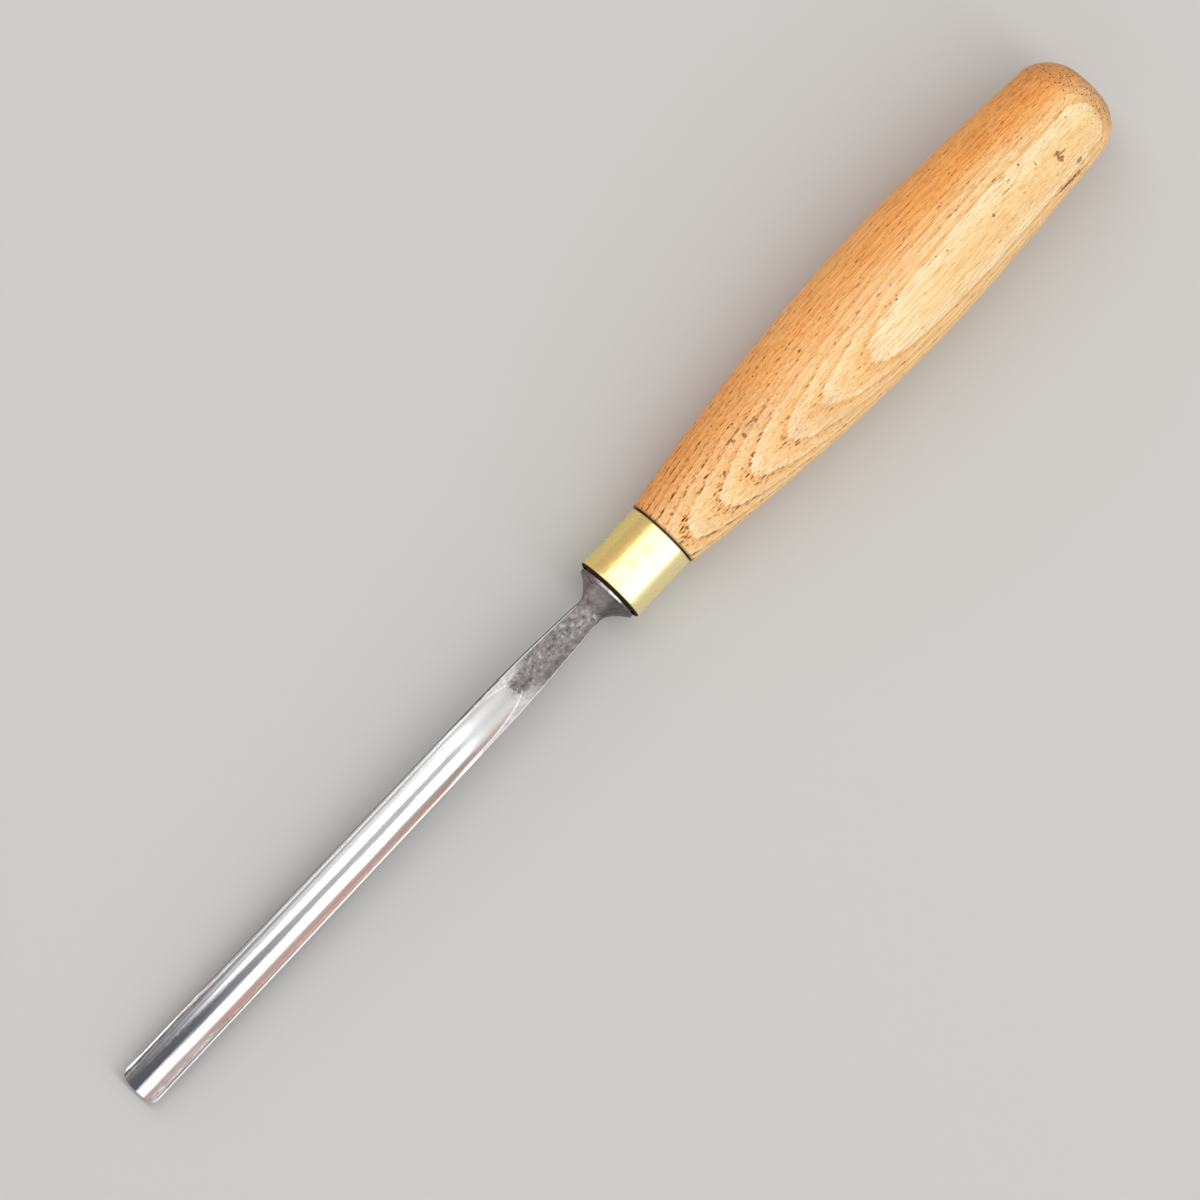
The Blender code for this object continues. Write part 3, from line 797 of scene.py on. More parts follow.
@dataclass(frozen=True)
class OiledAsh(Finish):
    """Flat-sawn ash under worn oil: yearly rings with rows of open pores, fibres, stains and end grain.

    The rings' sizes are in millimetres of depth towards the heart of the tree. Between squeeze_from and
    squeeze_to the rings lie closer, and below that they lie further apart.
    """

    ring_tilt: float = math.radians(28.7)
    ring_width: float = 1.4
    ring_bend: float = 70.0
    ring_slope: float = 0.05
    ring_start: float = 7.7
    ring_wander: float = 0.9
    ring_raggedness: float = 0.35
    squeeze_from: float = 4.5
    squeeze_to: float = 6.42
    squeeze: float = 0.58
    core_widening: float = 0.55
    pale: Colour = (0.97, 0.665, 0.325)
    orange: Colour = (1.0, 0.485, 0.15)
    pore: Colour = (0.22, 0.065, 0.008)
    rear_tint: Colour = (0.98, 0.92, 0.80)
    growth_tints: Stops = (
        (0.0, (1.0, 1.10, 1.30)),
        (0.30, (1.0, 1.0, 1.0)),
        (0.65, (0.98, 0.91, 0.80)),
        (0.93, (0.93, 0.74, 0.54)),
        (1.0, (1.0, 1.06, 1.2)),
    )
    core_tint: Colour = (1.0, 1.09, 1.17)
    right_tint: Colour = (0.98, 0.92, 0.86)
    patch_tint: Colour = (1.0, 0.905, 0.78)
    fibre_tints: Stops = (
        (0.36, (0.86, 0.68, 0.50)),
        (0.50, (1.0, 1.0, 1.0)),
        (0.66, (1.03, 1.12, 1.24)),
    )
    hair_tint: Colour = (0.62, 0.375, 0.19)
    handled_tint: Colour = (0.72, 0.61, 0.48)
    front_tint: Colour = (0.93, 0.85, 0.75)
    rim_colour: Colour = (0.60, 0.28, 0.09)
    end_colour: Colour = (0.20, 0.09, 0.04)
    seam_colour: Colour = (0.16, 0.08, 0.035)
    grime_colour: Colour = (0.55, 0.33, 0.18)
    stain_height: float = 8.0
    stain_reach: float = 12.0
    relief: float = 0.00004

    def rings(self, nodes: Nodes, position: Socket, throat: float) -> Socket:
        """Counts yearly rings, which lie across a tilted direction and bend round the heart of the tree.

        Args:
            nodes: The material's nodes.
            position: Place in millimetres.
            throat: Where the handle starts along the tool, in millimetres.

        Returns:
            The number of rings to each place, whole at each ring's start.
        """
        tilt_sin, tilt_cos = math.sin(self.ring_tilt), math.cos(self.ring_tilt)
        depth = nodes.vector("DOT_PRODUCT", position, (self.ring_slope, -tilt_sin, tilt_cos))
        depth = nodes.minus(depth, self.ring_slope * throat + self.ring_start)
        side = nodes.vector("DOT_PRODUCT", position, (0.0, tilt_cos, tilt_sin))
        bend = nodes.math("DIVIDE", nodes.times(side, side), 2 * self.ring_bend)
        depth = nodes.minus(depth, bend)
        wander = nodes.noise(nodes.scaled(position, 0.05, 0.16, 0.16), 1.0, 3.0)
        depth = nodes.plus(depth, nodes.times(nodes.minus(wander, 0.5), self.ring_wander))
        ragged = nodes.noise(nodes.scaled(position, 0.35, 1.6, 1.6), 1.0, 3.0)
        depth = nodes.plus(depth, nodes.times(nodes.minus(ragged, 0.5), self.ring_raggedness))
        limits = {"Value": depth, "From Min": self.squeeze_from, "From Max": self.squeeze_to}
        squeezed = nodes.add("ShaderNodeMapRange", {**limits, "To Max": self.squeeze}).outputs[0]
        core = nodes.math("MAXIMUM", nodes.minus(depth, self.squeeze_to), 0.0)
        depth = nodes.minus(nodes.plus(depth, squeezed), nodes.times(core, self.core_widening))
        return nodes.math("DIVIDE", depth, self.ring_width)

    def base(self, nodes: Nodes, position: Socket, throat: float) -> tuple[Socket, Socket]:
        """The wood's broad tone: orange on the left, pale on the right.

        Args:
            nodes: The material's nodes.
            position: Place in millimetres.
            throat: Where the handle starts along the tool, in millimetres.

        Returns:
            The colour, and a mask of the left side.
        """
        along, across, _ = nodes.parts(position)
        rear = nodes.step(along, throat + 55.0, throat + 80.0)
        butt_shift = nodes.times(nodes.step(along, throat + 86.0, throat + 100.0), 1.8)
        aside = nodes.plus(across, butt_shift)
        left = nodes.step(aside, nodes.spread(rear, -3.0, 1.3), nodes.spread(rear, 9.0, 6.8))
        colour = nodes.blend(left, self.pale, self.orange)
        return nodes.tint(nodes.times(left, rear), colour, self.rear_tint), left

    def grown(
        self, nodes: Nodes, position: Socket, fibres: Socket, left: Socket, wood: Socket, throat: float
    ) -> tuple[Socket, Socket]:
        """Lays the yearly rings' tones and uneven patches over the wood.

        Args:
            nodes: The material's nodes.
            position: Place in millimetres.
            fibres: Fine lines along the tool, from 0 to 1.
            left: Mask of the left side.
            wood: The wood's broad tone.
            throat: Where the handle starts along the tool, in millimetres.

        Returns:
            The colour, and the share of each ring that has grown, from 0 to 1.
        """
        along, across, _ = nodes.parts(position)
        count = self.rings(nodes, position, throat)
        fibrous = nodes.times(nodes.minus(fibres, 0.5), 0.3)
        share = nodes.math("FRACT", nodes.plus(count, fibrous))
        wood = nodes.tint(nodes.spread(left, 1.0, 0.6), wood, nodes.ramp(share, self.growth_tints))
        wood = nodes.tint(nodes.step(count, 4.97, 5.1), wood, self.core_tint)
        right = nodes.times(nodes.step(across, -2.6, -4.4), nodes.step(across, -8.8, -7.6))
        right = nodes.times(right, nodes.step(along, throat + 62.0, throat + 76.0))
        wood = nodes.tint(right, wood, self.right_tint)
        patches = nodes.noise(nodes.scaled(position, 0.22, 0.75, 0.75), 1.0, 5.0, 0.65)
        patches = nodes.times(nodes.step(patches, 0.48, 0.68), nodes.spread(share, 0.25, 0.9))
        return nodes.tint(patches, wood, self.patch_tint), share

    def pores(self, nodes: Nodes, position: Socket, share: Socket, front: Socket) -> Socket:
        """Open pores, in rows where each ring starts and few between.

        Args:
            nodes: The material's nodes.
            position: Place in millimetres.
            share: Share of each ring that has grown.
            front: 1 at the front of the handle, where the pores show more, 0 behind it.

        Returns:
            Their mask.
        """
        dense = nodes.times(nodes.step(share, 0.55, 0.85), nodes.step(share, 1.0, 0.97))
        dense = nodes.times(dense, nodes.spread(front, 0.30, 1.0))
        scatter = self.effects.scatter
        large = scatter(nodes, position, (1.7, 0.46, 0.46), 0.42, nodes.spread(dense, 0.012, 0.85))
        small = scatter(nodes, position, (1.1, 0.28, 0.28), 0.42, nodes.spread(dense, 0.03, 0.95))
        large = nodes.times(large, nodes.spread(front, 0.65, 1.0))
        small = nodes.times(small, nodes.spread(front, 0.45, 0.85))
        return nodes.math("MAXIMUM", large, small)

    def wear(
        self, nodes: Nodes, position: Socket, wood: Socket, streaks: Socket, throat: float
    ) -> tuple[Socket, Socket]:
        """Adds stains, scuffs, specks and the dirty rim that use has left on the wood.

        Args:
            nodes: The material's nodes.
            position: Place in millimetres.
            wood: Colour of the clean wood.
            streaks: Fine lines along the tool, from 0 to 1, that break the stains up.
            throat: Where the handle starts along the tool, in millimetres.

        Returns:
            The colour of the worn wood, and a mask of the dark specks.
        """
        along, across, _ = nodes.parts(position)
        for stain in STAINS:
            centre = (throat + stain.along, stain.left, self.stain_height)
            size = (stain.length, stain.width, self.stain_reach)
            mask = self.effects.place_mark(nodes, position, centre, size, ragged=1.9, grain=2.4)
            mask = nodes.times(mask, nodes.spread(streaks, 0.85, 1.0))
            wood = nodes.blend(nodes.times(mask, stain.strength), wood, stain.colour)
        lead = nodes.times(nodes.math("MAXIMUM", across, 0.0), 0.25)
        rim = nodes.step(nodes.plus(along, lead), throat + 105.6, throat + 108.3)
        dirt = nodes.step(nodes.noise(position, 1.1, 5.0, 0.7), 0.42, 0.58)
        wood = nodes.blend(nodes.times(rim, nodes.spread(dirt, 0.3, 0.75)), wood, self.rim_colour)
        density = nodes.spread(rim, 0.003, 0.5)
        specks = self.effects.scatter(nodes, position, (0.55, 0.42, 0.42), 0.42, density)
        wood = nodes.tint(nodes.times(specks, 0.95), wood, self.pore)
        end = nodes.times(nodes.step(along, throat + 108.9, throat + 109.9), 0.22)
        wood = nodes.blend(end, wood, self.end_colour)
        seam = nodes.step(along, throat + 0.9, throat + 0.1)
        return nodes.blend(nodes.times(seam, 0.8), wood, self.seam_colour), specks

    def build(self, throat: float) -> bpy.types.Material:
        """Builds the material.

        Args:
            throat: Where the handle starts along the tool, in millimetres.

        Returns:
            The material.
        """
        nodes, shader, position = self.start("oiled_ash")
        along, across, _ = nodes.parts(position)
        fibres = self.effects.lines(nodes, position, 0.12, 4.5)
        hairs = self.effects.lines(nodes, position, 0.09, 9.0)
        wood, left = self.base(nodes, position, throat)
        wood, share = self.grown(nodes, position, fibres, left, wood, throat)
        wood = nodes.tint(1.0, wood, nodes.ramp(fibres, self.fibre_tints))
        fine = nodes.times(nodes.step(hairs, 0.46, 0.37), nodes.spread(left, 0.75, 1.0))
        wood = nodes.tint(fine, wood, self.hair_tint)
        handled = nodes.times(nodes.step(along, throat + 90.0, throat + 103.0), nodes.step(across, 3.5, 8.5))
        handled = nodes.times(handled, nodes.spread(nodes.step(hairs, 0.56, 0.42), 0.2, 1.0))
        wood = nodes.tint(handled, wood, self.handled_tint)
        front = nodes.step(along, throat + 42.0, throat + 4.0)
        wood = nodes.tint(nodes.times(front, nodes.step(across, 0.5, 6.0)), wood, self.front_tint)
        pores = self.pores(nodes, position, share, front)
        wood = nodes.tint(pores, wood, self.pore)
        wood, specks = self.wear(nodes, position, wood, nodes.step(hairs, 0.4, 0.55), throat)
        holes = nodes.math("MAXIMUM", pores, specks)
        grime = self.effects.patches(nodes, position, size=14.0, cover=0.4)
        wood = nodes.blend(nodes.times(grime, 0.25), wood, self.grime_colour)
        nodes.put(shader.inputs["Base Color"], wood)
        rough = nodes.plus(nodes.spread(fibres, 0.36, 0.52), nodes.times(grime, 0.08))
        nodes.put(shader.inputs["Roughness"], rough)
        nodes.put(shader.inputs["Specular IOR Level"], nodes.spread(holes, 0.2, 0.0))
        height = nodes.minus(nodes.times(fibres, 0.5), nodes.times(holes, 0.5))
        nodes.put(shader.inputs["Normal"], nodes.bump(height, 0.4, self.relief))
        return self.material_of(nodes)


@dataclass(frozen=True)
class BladeSize:
    """Sizes of the blade, in metres along and across the tool's own axis.

    A power says how square a half of a section is: 2 is round, and a high one is nearly a rectangle.
    """

    edge_width: float = 0.00794
    shoulder_width: float = 0.0071
    shoulder_from_seat: float = 0.0266
    shoulder_height: float = 0.0041
    land_width: float = 0.00045
    flute_depth: float = 0.0018
    flute_length: float = 0.0992
    runout_length: float = 0.0133
    unpolished_length: float = 0.0012
    wall: float = 0.0016
    top_rise: float = 0.0022
    rim_height: float = 0.0005
    bevel_angle: float = math.radians(18)
    edge_thickness: float = 0.00008
    edge_bulge: float = 0.00045
    corner_radii: tuple[float, float] = (0.0014, 0.0009)
    neck_width: float = 0.00497
    neck_height: float = 0.0048
    flare_length: float = 0.0042
    bolster_diameter: float = 0.0121
    bolster_rim: float = 0.0007
    bolster_edge: float = 0.00015
    tang_length: float = 0.055
    tang_width: float = 0.0046
    tang_end_width: float = 0.0022
    top_power: float = 16
    under_power: float = 2.1
    neck_top_power: float = 9
    neck_under_power: float = 3.2
    round_power: float = 2
    tang_power: float = 7

    def tang_half(self, from_seat: float) -> float:
        """Half width of the tang at a distance behind the bolster."""
        return mix(self.tang_width, self.tang_end_width, from_seat / self.tang_length) / 2


class Section(NamedTuple):
    """One section of the forging: an upper and a lower half that meet at its widest place, the waist."""

    half: float
    top: float
    waist: float
    bottom: float
    top_power: float
    under_power: float


class Blade:
    """One forging: fluted blade, cutting edge with its outside bevel, flat neck, bolster and tang."""

    SIDE_COLUMNS = 12
    UNDER_COLUMNS = 47
    UPPER_COLUMNS = 2 * SIDE_COLUMNS + UNDER_COLUMNS
    BEVEL_RINGS = 14
    SETTLE_RINGS = 7
    SETTLED = 0.0072
    FLUTE_RINGS = 126
    NECK_RINGS = 92
    FLARE_RINGS = 22
    ROUNDING_RINGS = 6
    TANG_RINGS = 16
    NARROWEST_OPENING = 0.34
    TANG_OPENING = 0.5
    FLUTE_EDGE_SOFTNESS = 0.00004
    CLEAR_OF_FLUTE = -0.0004

    def __init__(self, size: BladeSize, seat: float) -> None:
        """Prepares the blade.

        Args:
            size: Its sizes.
            seat: Where the bolster ends along the tool.
        """
        self.size = size
        self.seat = seat
        self.shoulder = seat - size.shoulder_from_seat
        self.rim = seat - size.bolster_rim
        self.flare = self.rim - size.flare_length
        self.runout = size.flute_length - size.runout_length
        self.polished_to = size.flute_length - size.unpolished_length
        half = size.edge_width / 2 - size.land_width
        self.radius = (half**2 + size.flute_depth**2) / (2 * size.flute_depth)

    def stations(self) -> np.ndarray:
        """Spaces the rings behind the tip, close together where the shape changes fast.

        Returns:
            Their places along the tool.
        """
        edge = self.size.bolster_edge
        quarter = np.linspace(0, math.pi / 2, self.ROUNDING_RINGS)
        parts = (
            np.linspace(self.SETTLED, self.runout, self.FLUTE_RINGS)[:-1],
            np.linspace(self.runout, self.flare, self.NECK_RINGS)[:-1],
            np.linspace(self.flare, self.rim, self.FLARE_RINGS)[:-1],
            self.rim + edge * (1 - np.cos(quarter)),
            np.linspace(self.rim + edge, self.seat - edge, 4)[1:-1],
            self.seat - edge + edge * np.sin(quarter),
            np.linspace(self.seat, self.seat + self.size.tang_length, self.TANG_RINGS),
        )
        return np.concatenate(parts)

    def section(self, x: float, tang: bool = False) -> Section:
        """Measures the forging before its flute is hollowed out.

        Args:
            x: Place along the tool.
            tang: Whether it is a place on the tang. The seat is both the bolster's end and the tang's start.

        Returns:
            The section.
        """
        size = self.size
        if tang:
            half = size.tang_half(x - self.seat)
            return Section(half, half, 0.0, -half, size.tang_power, size.tang_power)
        top, waist = size.top_rise, size.top_rise - size.rim_height
        if x < self.shoulder:
            share = x / self.shoulder
            depth = mix(size.flute_depth + size.wall, size.shoulder_height, share)
            half = mix(size.edge_width, size.shoulder_width, share) / 2
            return Section(half, top, waist, top - depth, size.top_power, size.under_power)
        neck = Section(
            size.neck_width / 2, top, top - size.neck_height / 2, top - size.neck_height,
            size.neck_top_power, size.neck_under_power,
        )
        if x < self.flare:
            share = (x - self.shoulder) / (self.flare - self.shoulder)
            first = Section(
                size.shoulder_width / 2, top, waist, top - size.shoulder_height,
                size.top_power, size.under_power,
            )
            between = Section(*(mix(a, b, share) for a, b in zip(first, neck)))
            return between._replace(half=mix(first.half, neck.half, share**1.5))
        edge = size.bolster_diameter / 2 - size.bolster_edge
        if x < self.rim:
            share = (x - self.flare) / (self.rim - self.flare)
            rounding = 1 - (1 - share) ** 2
            sizes = (mix(a, b, share**2) for a, b in zip(neck, (edge, edge, 0.0, -edge)))
            powers = (mix(power, size.round_power, rounding) for power in neck[4:])
            return Section(*sizes, *powers)
        into = min(x - self.rim, self.seat - x) / size.bolster_edge
        round_edge = math.sqrt(max(1 - (1 - min(into, 1.0)) ** 2, 0.0))
        reach = edge + size.bolster_edge * round_edge
        return Section(reach, reach, 0.0, -reach, size.round_power, size.round_power)

    def depth_at(self, x: float) -> float:
        """Measures the flute below the blade's top.

        Args:
            x: Place along the tool.

        Returns:
            The depth, which is below 0 behind the end of the flute's tongue.
        """
        size = self.size
        place = min(x, self.runout)
        reach = mix(size.edge_width, size.shoulder_width, place / self.shoulder) / 2 - size.land_width
        full = self.radius - math.sqrt(self.radius**2 - reach**2)
        past = min(max(x - self.runout, 0) / size.runout_length, 1.15)
        return full * (1 - past**1.8)

    def depths(self, x: np.ndarray) -> np.ndarray:
        """Depths of the flute at many places, 0 where there is none."""
        return np.maximum(np.vectorize(self.depth_at)(x), 0)

    def open_half(self, x: np.ndarray) -> np.ndarray:
        """Half width of the flute's opening."""
        return np.sqrt(np.maximum(self.radius**2 - (self.radius - self.depths(x)) ** 2, 0))

    def side_curve(self, half: float, waist: float, reach: float, power: float, inner: float) -> np.ndarray:
        """Points from the edge of the flute out over the land and down to the waist, evenly spread.

        Args:
            half: Half width of the section.
            waist: Height of its widest place.
            reach: Height of its top above the waist.
            power: How square its upper half is.
            inner: Where the curve starts, across the tool.

        Returns:
            Rows of (y, z).
        """
        start = math.acos(min((inner / half) ** (power / 2), 1.0))
        steep = math.pi / 2 - np.geomspace(1e-9, math.pi / 4, 160)
        angles = np.concatenate([steep, np.linspace(math.pi / 4, 0, 160)])
        angles = np.sort(np.append(angles[angles < start], [start, 0.0]))[::-1]
        y = half * np.cos(angles) ** (2 / power)
        z = waist + reach * np.sin(angles) ** (2 / power)
        steps = np.hypot(np.diff(y), np.diff(z))
        heading = np.unwrap(np.arctan2(np.diff(z), np.diff(y)))
        turning = np.abs(np.diff(heading, prepend=heading[0]))
        spacing = steps / steps.sum() + turning / max(turning.sum(), 1e-9)
        measure = np.concatenate([[0], np.cumsum(spacing)])
        places = np.linspace(0, measure[-1], self.SIDE_COLUMNS + 1)
        return np.stack([np.interp(places, measure, y), np.interp(places, measure, z)], axis=1)

    def ring(self, x: float, tang: bool = False) -> np.ndarray:
        """One ring of the forging's skin with the flute hollowed out.

        Args:
            x: Place along the tool.
            tang: Whether it is a ring of the tang.

        Returns:
            Rows of (y, z), from the right edge of the flute over the top and back underneath.
        """
        part = self.section(x, tang)
        depth = self.depth_at(x)
        centre = part.top + self.radius - depth
        open_half = math.sqrt(max(self.radius**2 - (self.radius - max(depth, 0)) ** 2, 0.0))
        bolster_inner = self.TANG_OPENING * part.half
        inner = bolster_inner if tang else max(open_half, self.NARROWEST_OPENING * part.half)
        inner = mix(inner, bolster_inner, float(ease(self.flare, self.rim, np.array(x))))
        right = self.side_curve(part.half, part.waist, part.top - part.waist, part.top_power, inner)
        place = np.arange(1, self.UPPER_COLUMNS + 1) / (self.UPPER_COLUMNS + 1)
        y = inner * (0.15 * (1 - 2 * place) + 0.85 * np.cos(math.pi * place))
        rounded = (1 - np.abs(y / part.half) ** part.top_power) ** (1 / part.top_power)
        z = part.waist + (part.top - part.waist) * rounded
        if depth > self.CLEAR_OF_FLUTE:
            hollow = centre - np.sqrt(self.radius**2 - y**2)
            above = (z - hollow) / self.FLUTE_EDGE_SOFTNESS
            z = z - self.FLUTE_EDGE_SOFTNESS * np.logaddexp(0, above)
        angles = np.linspace(math.pi, 2 * math.pi, self.UNDER_COLUMNS + 2)[1:-1]
        power = 2 / part.under_power
        under_y = part.half * np.sign(np.cos(angles)) * np.abs(np.cos(angles)) ** power
        under_z = part.waist - (part.waist - part.bottom) * np.abs(np.sin(angles)) ** power
        upper, under = np.stack([y, z], axis=1), np.stack([under_y, under_z], axis=1)
        left = right[::-1] * (-1, 1)
        return np.concatenate([right[:1], upper, left[-1:], left[:-1][::-1], under, right[:0:-1]])

    def edge_set_back(self, y: np.ndarray) -> np.ndarray:
        """Measures the cutting edge, with its bulge and its two worn corners.

        Args:
            y: Places across the blade.

        Returns:
            How far the edge lies behind its foremost point at each.
        """
        half = self.size.edge_width / 2
        radius = np.where(y > 0, *self.size.corner_radii)
        into = np.clip(np.abs(y) - (half - radius), 0, radius)
        return self.size.edge_bulge * (y / half) ** 2 + radius - np.sqrt(radius**2 - into**2)

    def tip(self) -> np.ndarray:
        """Shapes the rings from the cutting edge over the bevel and its heel to the first common ring.

        Returns:
            An array of rings, columns and (x, y, z).
        """
        size = self.size
        centre = size.top_rise + self.radius - size.flute_depth
        flute = np.zeros(2 * self.UPPER_COLUMNS + 2, dtype=bool)
        flute[: self.UPPER_COLUMNS + 2] = True
        rings = []
        total = self.BEVEL_RINGS + self.SETTLE_RINGS
        base = self.ring(0.0)
        angle = np.arctan2(base[:, 0], centre - base[:, 1])
        reach = np.hypot(base[:, 0], centre - base[:, 1])
        half = size.edge_width / 2
        edge = self.edge_set_back(np.clip(self.radius * np.sin(angle), -half, half))
        slope = math.tan(size.bevel_angle)
        heel = edge + np.maximum(reach - self.radius - size.edge_thickness, 0) / slope
        for index in range(total):
            if index <= self.BEVEL_RINGS:
                x = mix(edge, heel, index / self.BEVEL_RINGS)
            else:
                share = ((index - self.BEVEL_RINGS) / self.SETTLE_RINGS) ** 1.7
                x = mix(heel, self.SETTLED, share)
            x = np.where(flute, mix(edge, self.SETTLED, index / total), x)
            sections = {float(place): self.ring(float(place)) for place in np.unique(x.round(7))}
            points = np.stack([sections[float(place)][i] for i, place in enumerate(x.round(7))])
            cone = self.radius + size.edge_thickness + (x - edge) * slope
            radius = np.hypot(points[:, 0], centre - points[:, 1])
            turn = np.arctan2(points[:, 0], centre - points[:, 1])
            ground = np.where(flute, radius, np.minimum(radius, cone))
            limit = np.arccos(np.clip((centre - size.top_rise) / ground, -1, 1))
            turn = np.where(flute, turn, np.clip(turn, -limit, limit))
            rings.append(np.stack([x, ground * np.sin(turn), centre - ground * np.cos(turn)], axis=1))
        return np.stack(rings)

    def skin(self) -> np.ndarray:
        """Shapes all rings.

        Returns:
            An array of rings, columns and (x, y, z).
        """
        stations = self.stations()
        first_of_tang = len(stations) - self.TANG_RINGS
        rings = []
        for index, x in enumerate(stations):
            flat = self.ring(float(x), tang=index >= first_of_tang)
            rings.append(np.column_stack([np.full(len(flat), x), flat]))
        return np.concatenate([self.tip(), np.stack(rings)])

    def hand_work(self, points: np.ndarray) -> np.ndarray:
        """Moves the skin by what the hammer, the grinding and the years left on it.

        Args:
            points: Rings, columns and (x, y, z).

        Returns:
            The moved points.
        """
        forged = self.forged(points)
        shown = ease(self.seat + 0.0005, self.seat - 0.0002, points[..., 0])
        lumps = sum(ripple.at(points) for ripple in FORGING_LUMPS)
        polish = sum(ripple.at(points) for ripple in POLISHING_RIPPLES)
        move = (lumps * forged + polish * (1 - forged)) * shown
        y = points[..., 1]
        moved = points.copy()
        moved[..., 2] += move
        moved[..., 1] += move * np.sign(y) * ease(0.0, 0.002, np.abs(y))
        return moved

    def forged(self, points: np.ndarray) -> np.ndarray:
        """Finds where the forging skin was left on.

        Args:
            points: Rings, columns and (x, y, z).

        Returns:
            1 on the skin, 0 where the steel was ground or polished.
        """
        x, y, z = points[..., 0], points[..., 1], points[..., 2]
        crisp = 0.00006
        beside = ease(-crisp, crisp, np.abs(y) - self.open_half(x))
        under = ease(self.size.top_rise - 0.0003, self.size.top_rise - 0.0006, z + self.depths(x))
        tongue_end = ease(-0.003, 0.0016, x - self.polished_to)
        behind = ease(self.runout - 0.004, self.runout + 0.003, x)
        return np.maximum(np.maximum(beside, under) * behind, tongue_end)

    def opening(self, points: np.ndarray) -> np.ndarray:
        """Distance in millimetres from the flute's edge, outwards, up to 1 either way."""
        return np.clip((np.abs(points[..., 1]) - self.open_half(points[..., 0])) * TO_MM, -1.0, 1.0)

    def ring_sections(self, points: np.ndarray) -> np.ndarray:
        """The sections of all rings, one row for each."""
        return np.array([self.section(float(x)) for x in points[:, 0, 0]])

    def outward(self, points: np.ndarray) -> np.ndarray:
        """Measures the way out over the blade's upper face.

        Args:
            points: Rings, columns and (x, y, z).

        Returns:
            Share of the way from the middle of that face to its outer edge, 0 away from that face.
        """
        x, y, z = points[..., 0], points[..., 1], points[..., 2]
        half, top = self.ring_sections(points).T[:2, :, None]
        near_top = ease(0.0011, 0.0005, top - z)
        return np.abs(y) / half * near_top * ease(self.flare + 0.0002, self.flare - 0.001, x)

    def rim_wear_and_highlight(self, points: np.ndarray) -> np.ndarray:
        """Finds the top of the bolster's rim, which hands and knocks keep bright, and where a highlight is
        painted on it.

        Args:
            points: Rings, columns and (x, y, z).

        Returns:
            1 there, 0 elsewhere.
        """
        x, y, z = points[..., 0], points[..., 1], points[..., 2]
        band = ease(self.seat - 0.00055, self.seat - 0.0003, x) * ease(self.seat, self.seat - 0.00015, x)
        return band * (z > 0) * ease(0.0042, 0.0022, np.abs(y))

    def side_shade(self, points: np.ndarray) -> np.ndarray:
        """Finds the blade's sides and back, darkened partly as oxide and partly as painted shade, and its
        left arris, where a painted dark line stands for shade.

        Args:
            points: Rings, columns and (x, y, z).

        Returns:
            1 there, 0 elsewhere.
        """
        x, y = points[..., 0], points[..., 1]
        half = self.ring_sections(points)[:, :1]
        share = np.abs(y) / half
        wide = ease(0.018, 0.026, x) * ease(0.106, 0.098, x) * 0.042
        outside = np.where(y > 0, ease(0.955, 0.985, share + wide), ease(0.99, 1.0, share))
        half_side = self.SIDE_COLUMNS // 2
        outside[:, self.UPPER_COLUMNS + 2 + half_side:-half_side] = 1.0
        return outside * ease(0.002, 0.006, x) * ease(self.flare + 0.001, self.flare - 0.003, x)

    @staticmethod
    def faces(rings: int, columns: int) -> list[list[int]]:
        """Joins the rings and closes both ends.

        Args:
            rings: Number of rings.
            columns: Number of points in each.

        Returns:
            The corners of each face.
        """
        index = np.arange(rings * columns).reshape(rings, columns)
        near, far = index[:-1], index[1:]
        quads = np.stack([near, np.roll(near, -1, 1), np.roll(far, -1, 1), far], axis=-1)
        faces = quads.reshape(-1, 4).tolist()
        half = columns // 2
        inner = index[0, : half + 1]
        outer = np.concatenate([index[0, :1], index[0, half:][::-1]])
        for a, b, c, d in zip(inner, inner[1:], outer[1:], outer):
            face = [int(corner) for corner in dict.fromkeys((a, d, c, b))]
            if len(face) > 2:
                faces.append(face)
        faces.append(index[-1].tolist())
        return faces

    def build(self, place: ToolFrame) -> bpy.types.Object:
        """Builds the blade and lays it in its place.

        Args:
            place: Where the tool's frame lies.

        Returns:
            The piece, whose attributes say where its steel is forged, open or worn, and where its sides are
            darkened, partly as oxide and partly as painted shade.
        """
        points = self.hand_work(self.skin())
        mesh = bpy.data.meshes.new("blade")
        mesh.from_pydata(points.reshape(-1, 3).tolist(), [], self.faces(*points.shape[:2]))
        masks = {
            "forged": self.forged(points),
            "opening": self.opening(points),
            "outward": self.outward(points),
            "rim": self.rim_wear_and_highlight(points),
            "oxide_and_shade": self.side_shade(points),
        }
        for name, values in masks.items():
            layer = mesh.attributes.new(name, "FLOAT", "POINT")
            layer.data.foreach_set("value", values.reshape(-1))
        lay_in_place(mesh, place, weld=True)
        return new_piece("gouge_blade", mesh)


def lay_in_place(mesh: bpy.types.Mesh, place: ToolFrame, weld: bool = False) -> None:
    """Moves a mesh from the tool's frame to its place, with its faces outwards and smooth.

    Args:
        mesh: The mesh.
        place: Where the tool's frame lies.
        weld: Whether its doubles are merged first.
    """
    bm = bmesh.new()
    bm.from_mesh(mesh)
    if weld:
        bmesh.ops.remove_doubles(bm, verts=bm.verts, dist=WELD)
        bmesh.ops.dissolve_degenerate(bm, edges=bm.edges, dist=WELD)
    bmesh.ops.recalc_face_normals(bm, faces=bm.faces)
    bmesh.ops.transform(bm, matrix=place.matrix, verts=bm.verts)
    bm.to_mesh(mesh)
    bm.free()
    mesh.shade_smooth()
    mesh.set_sharp_from_angle(angle=CREASE_ANGLE)


def new_piece(name: str, mesh: bpy.types.Mesh) -> bpy.types.Object:
    """Makes a new object for the mesh, at the origin.

    Args:
        name: Name of the piece.
        mesh: Its mesh.

    Returns:
        The object.
    """
    piece = bpy.data.objects.new(name, mesh)
    bpy.context.scene.collection.objects.link(piece)
    return piece


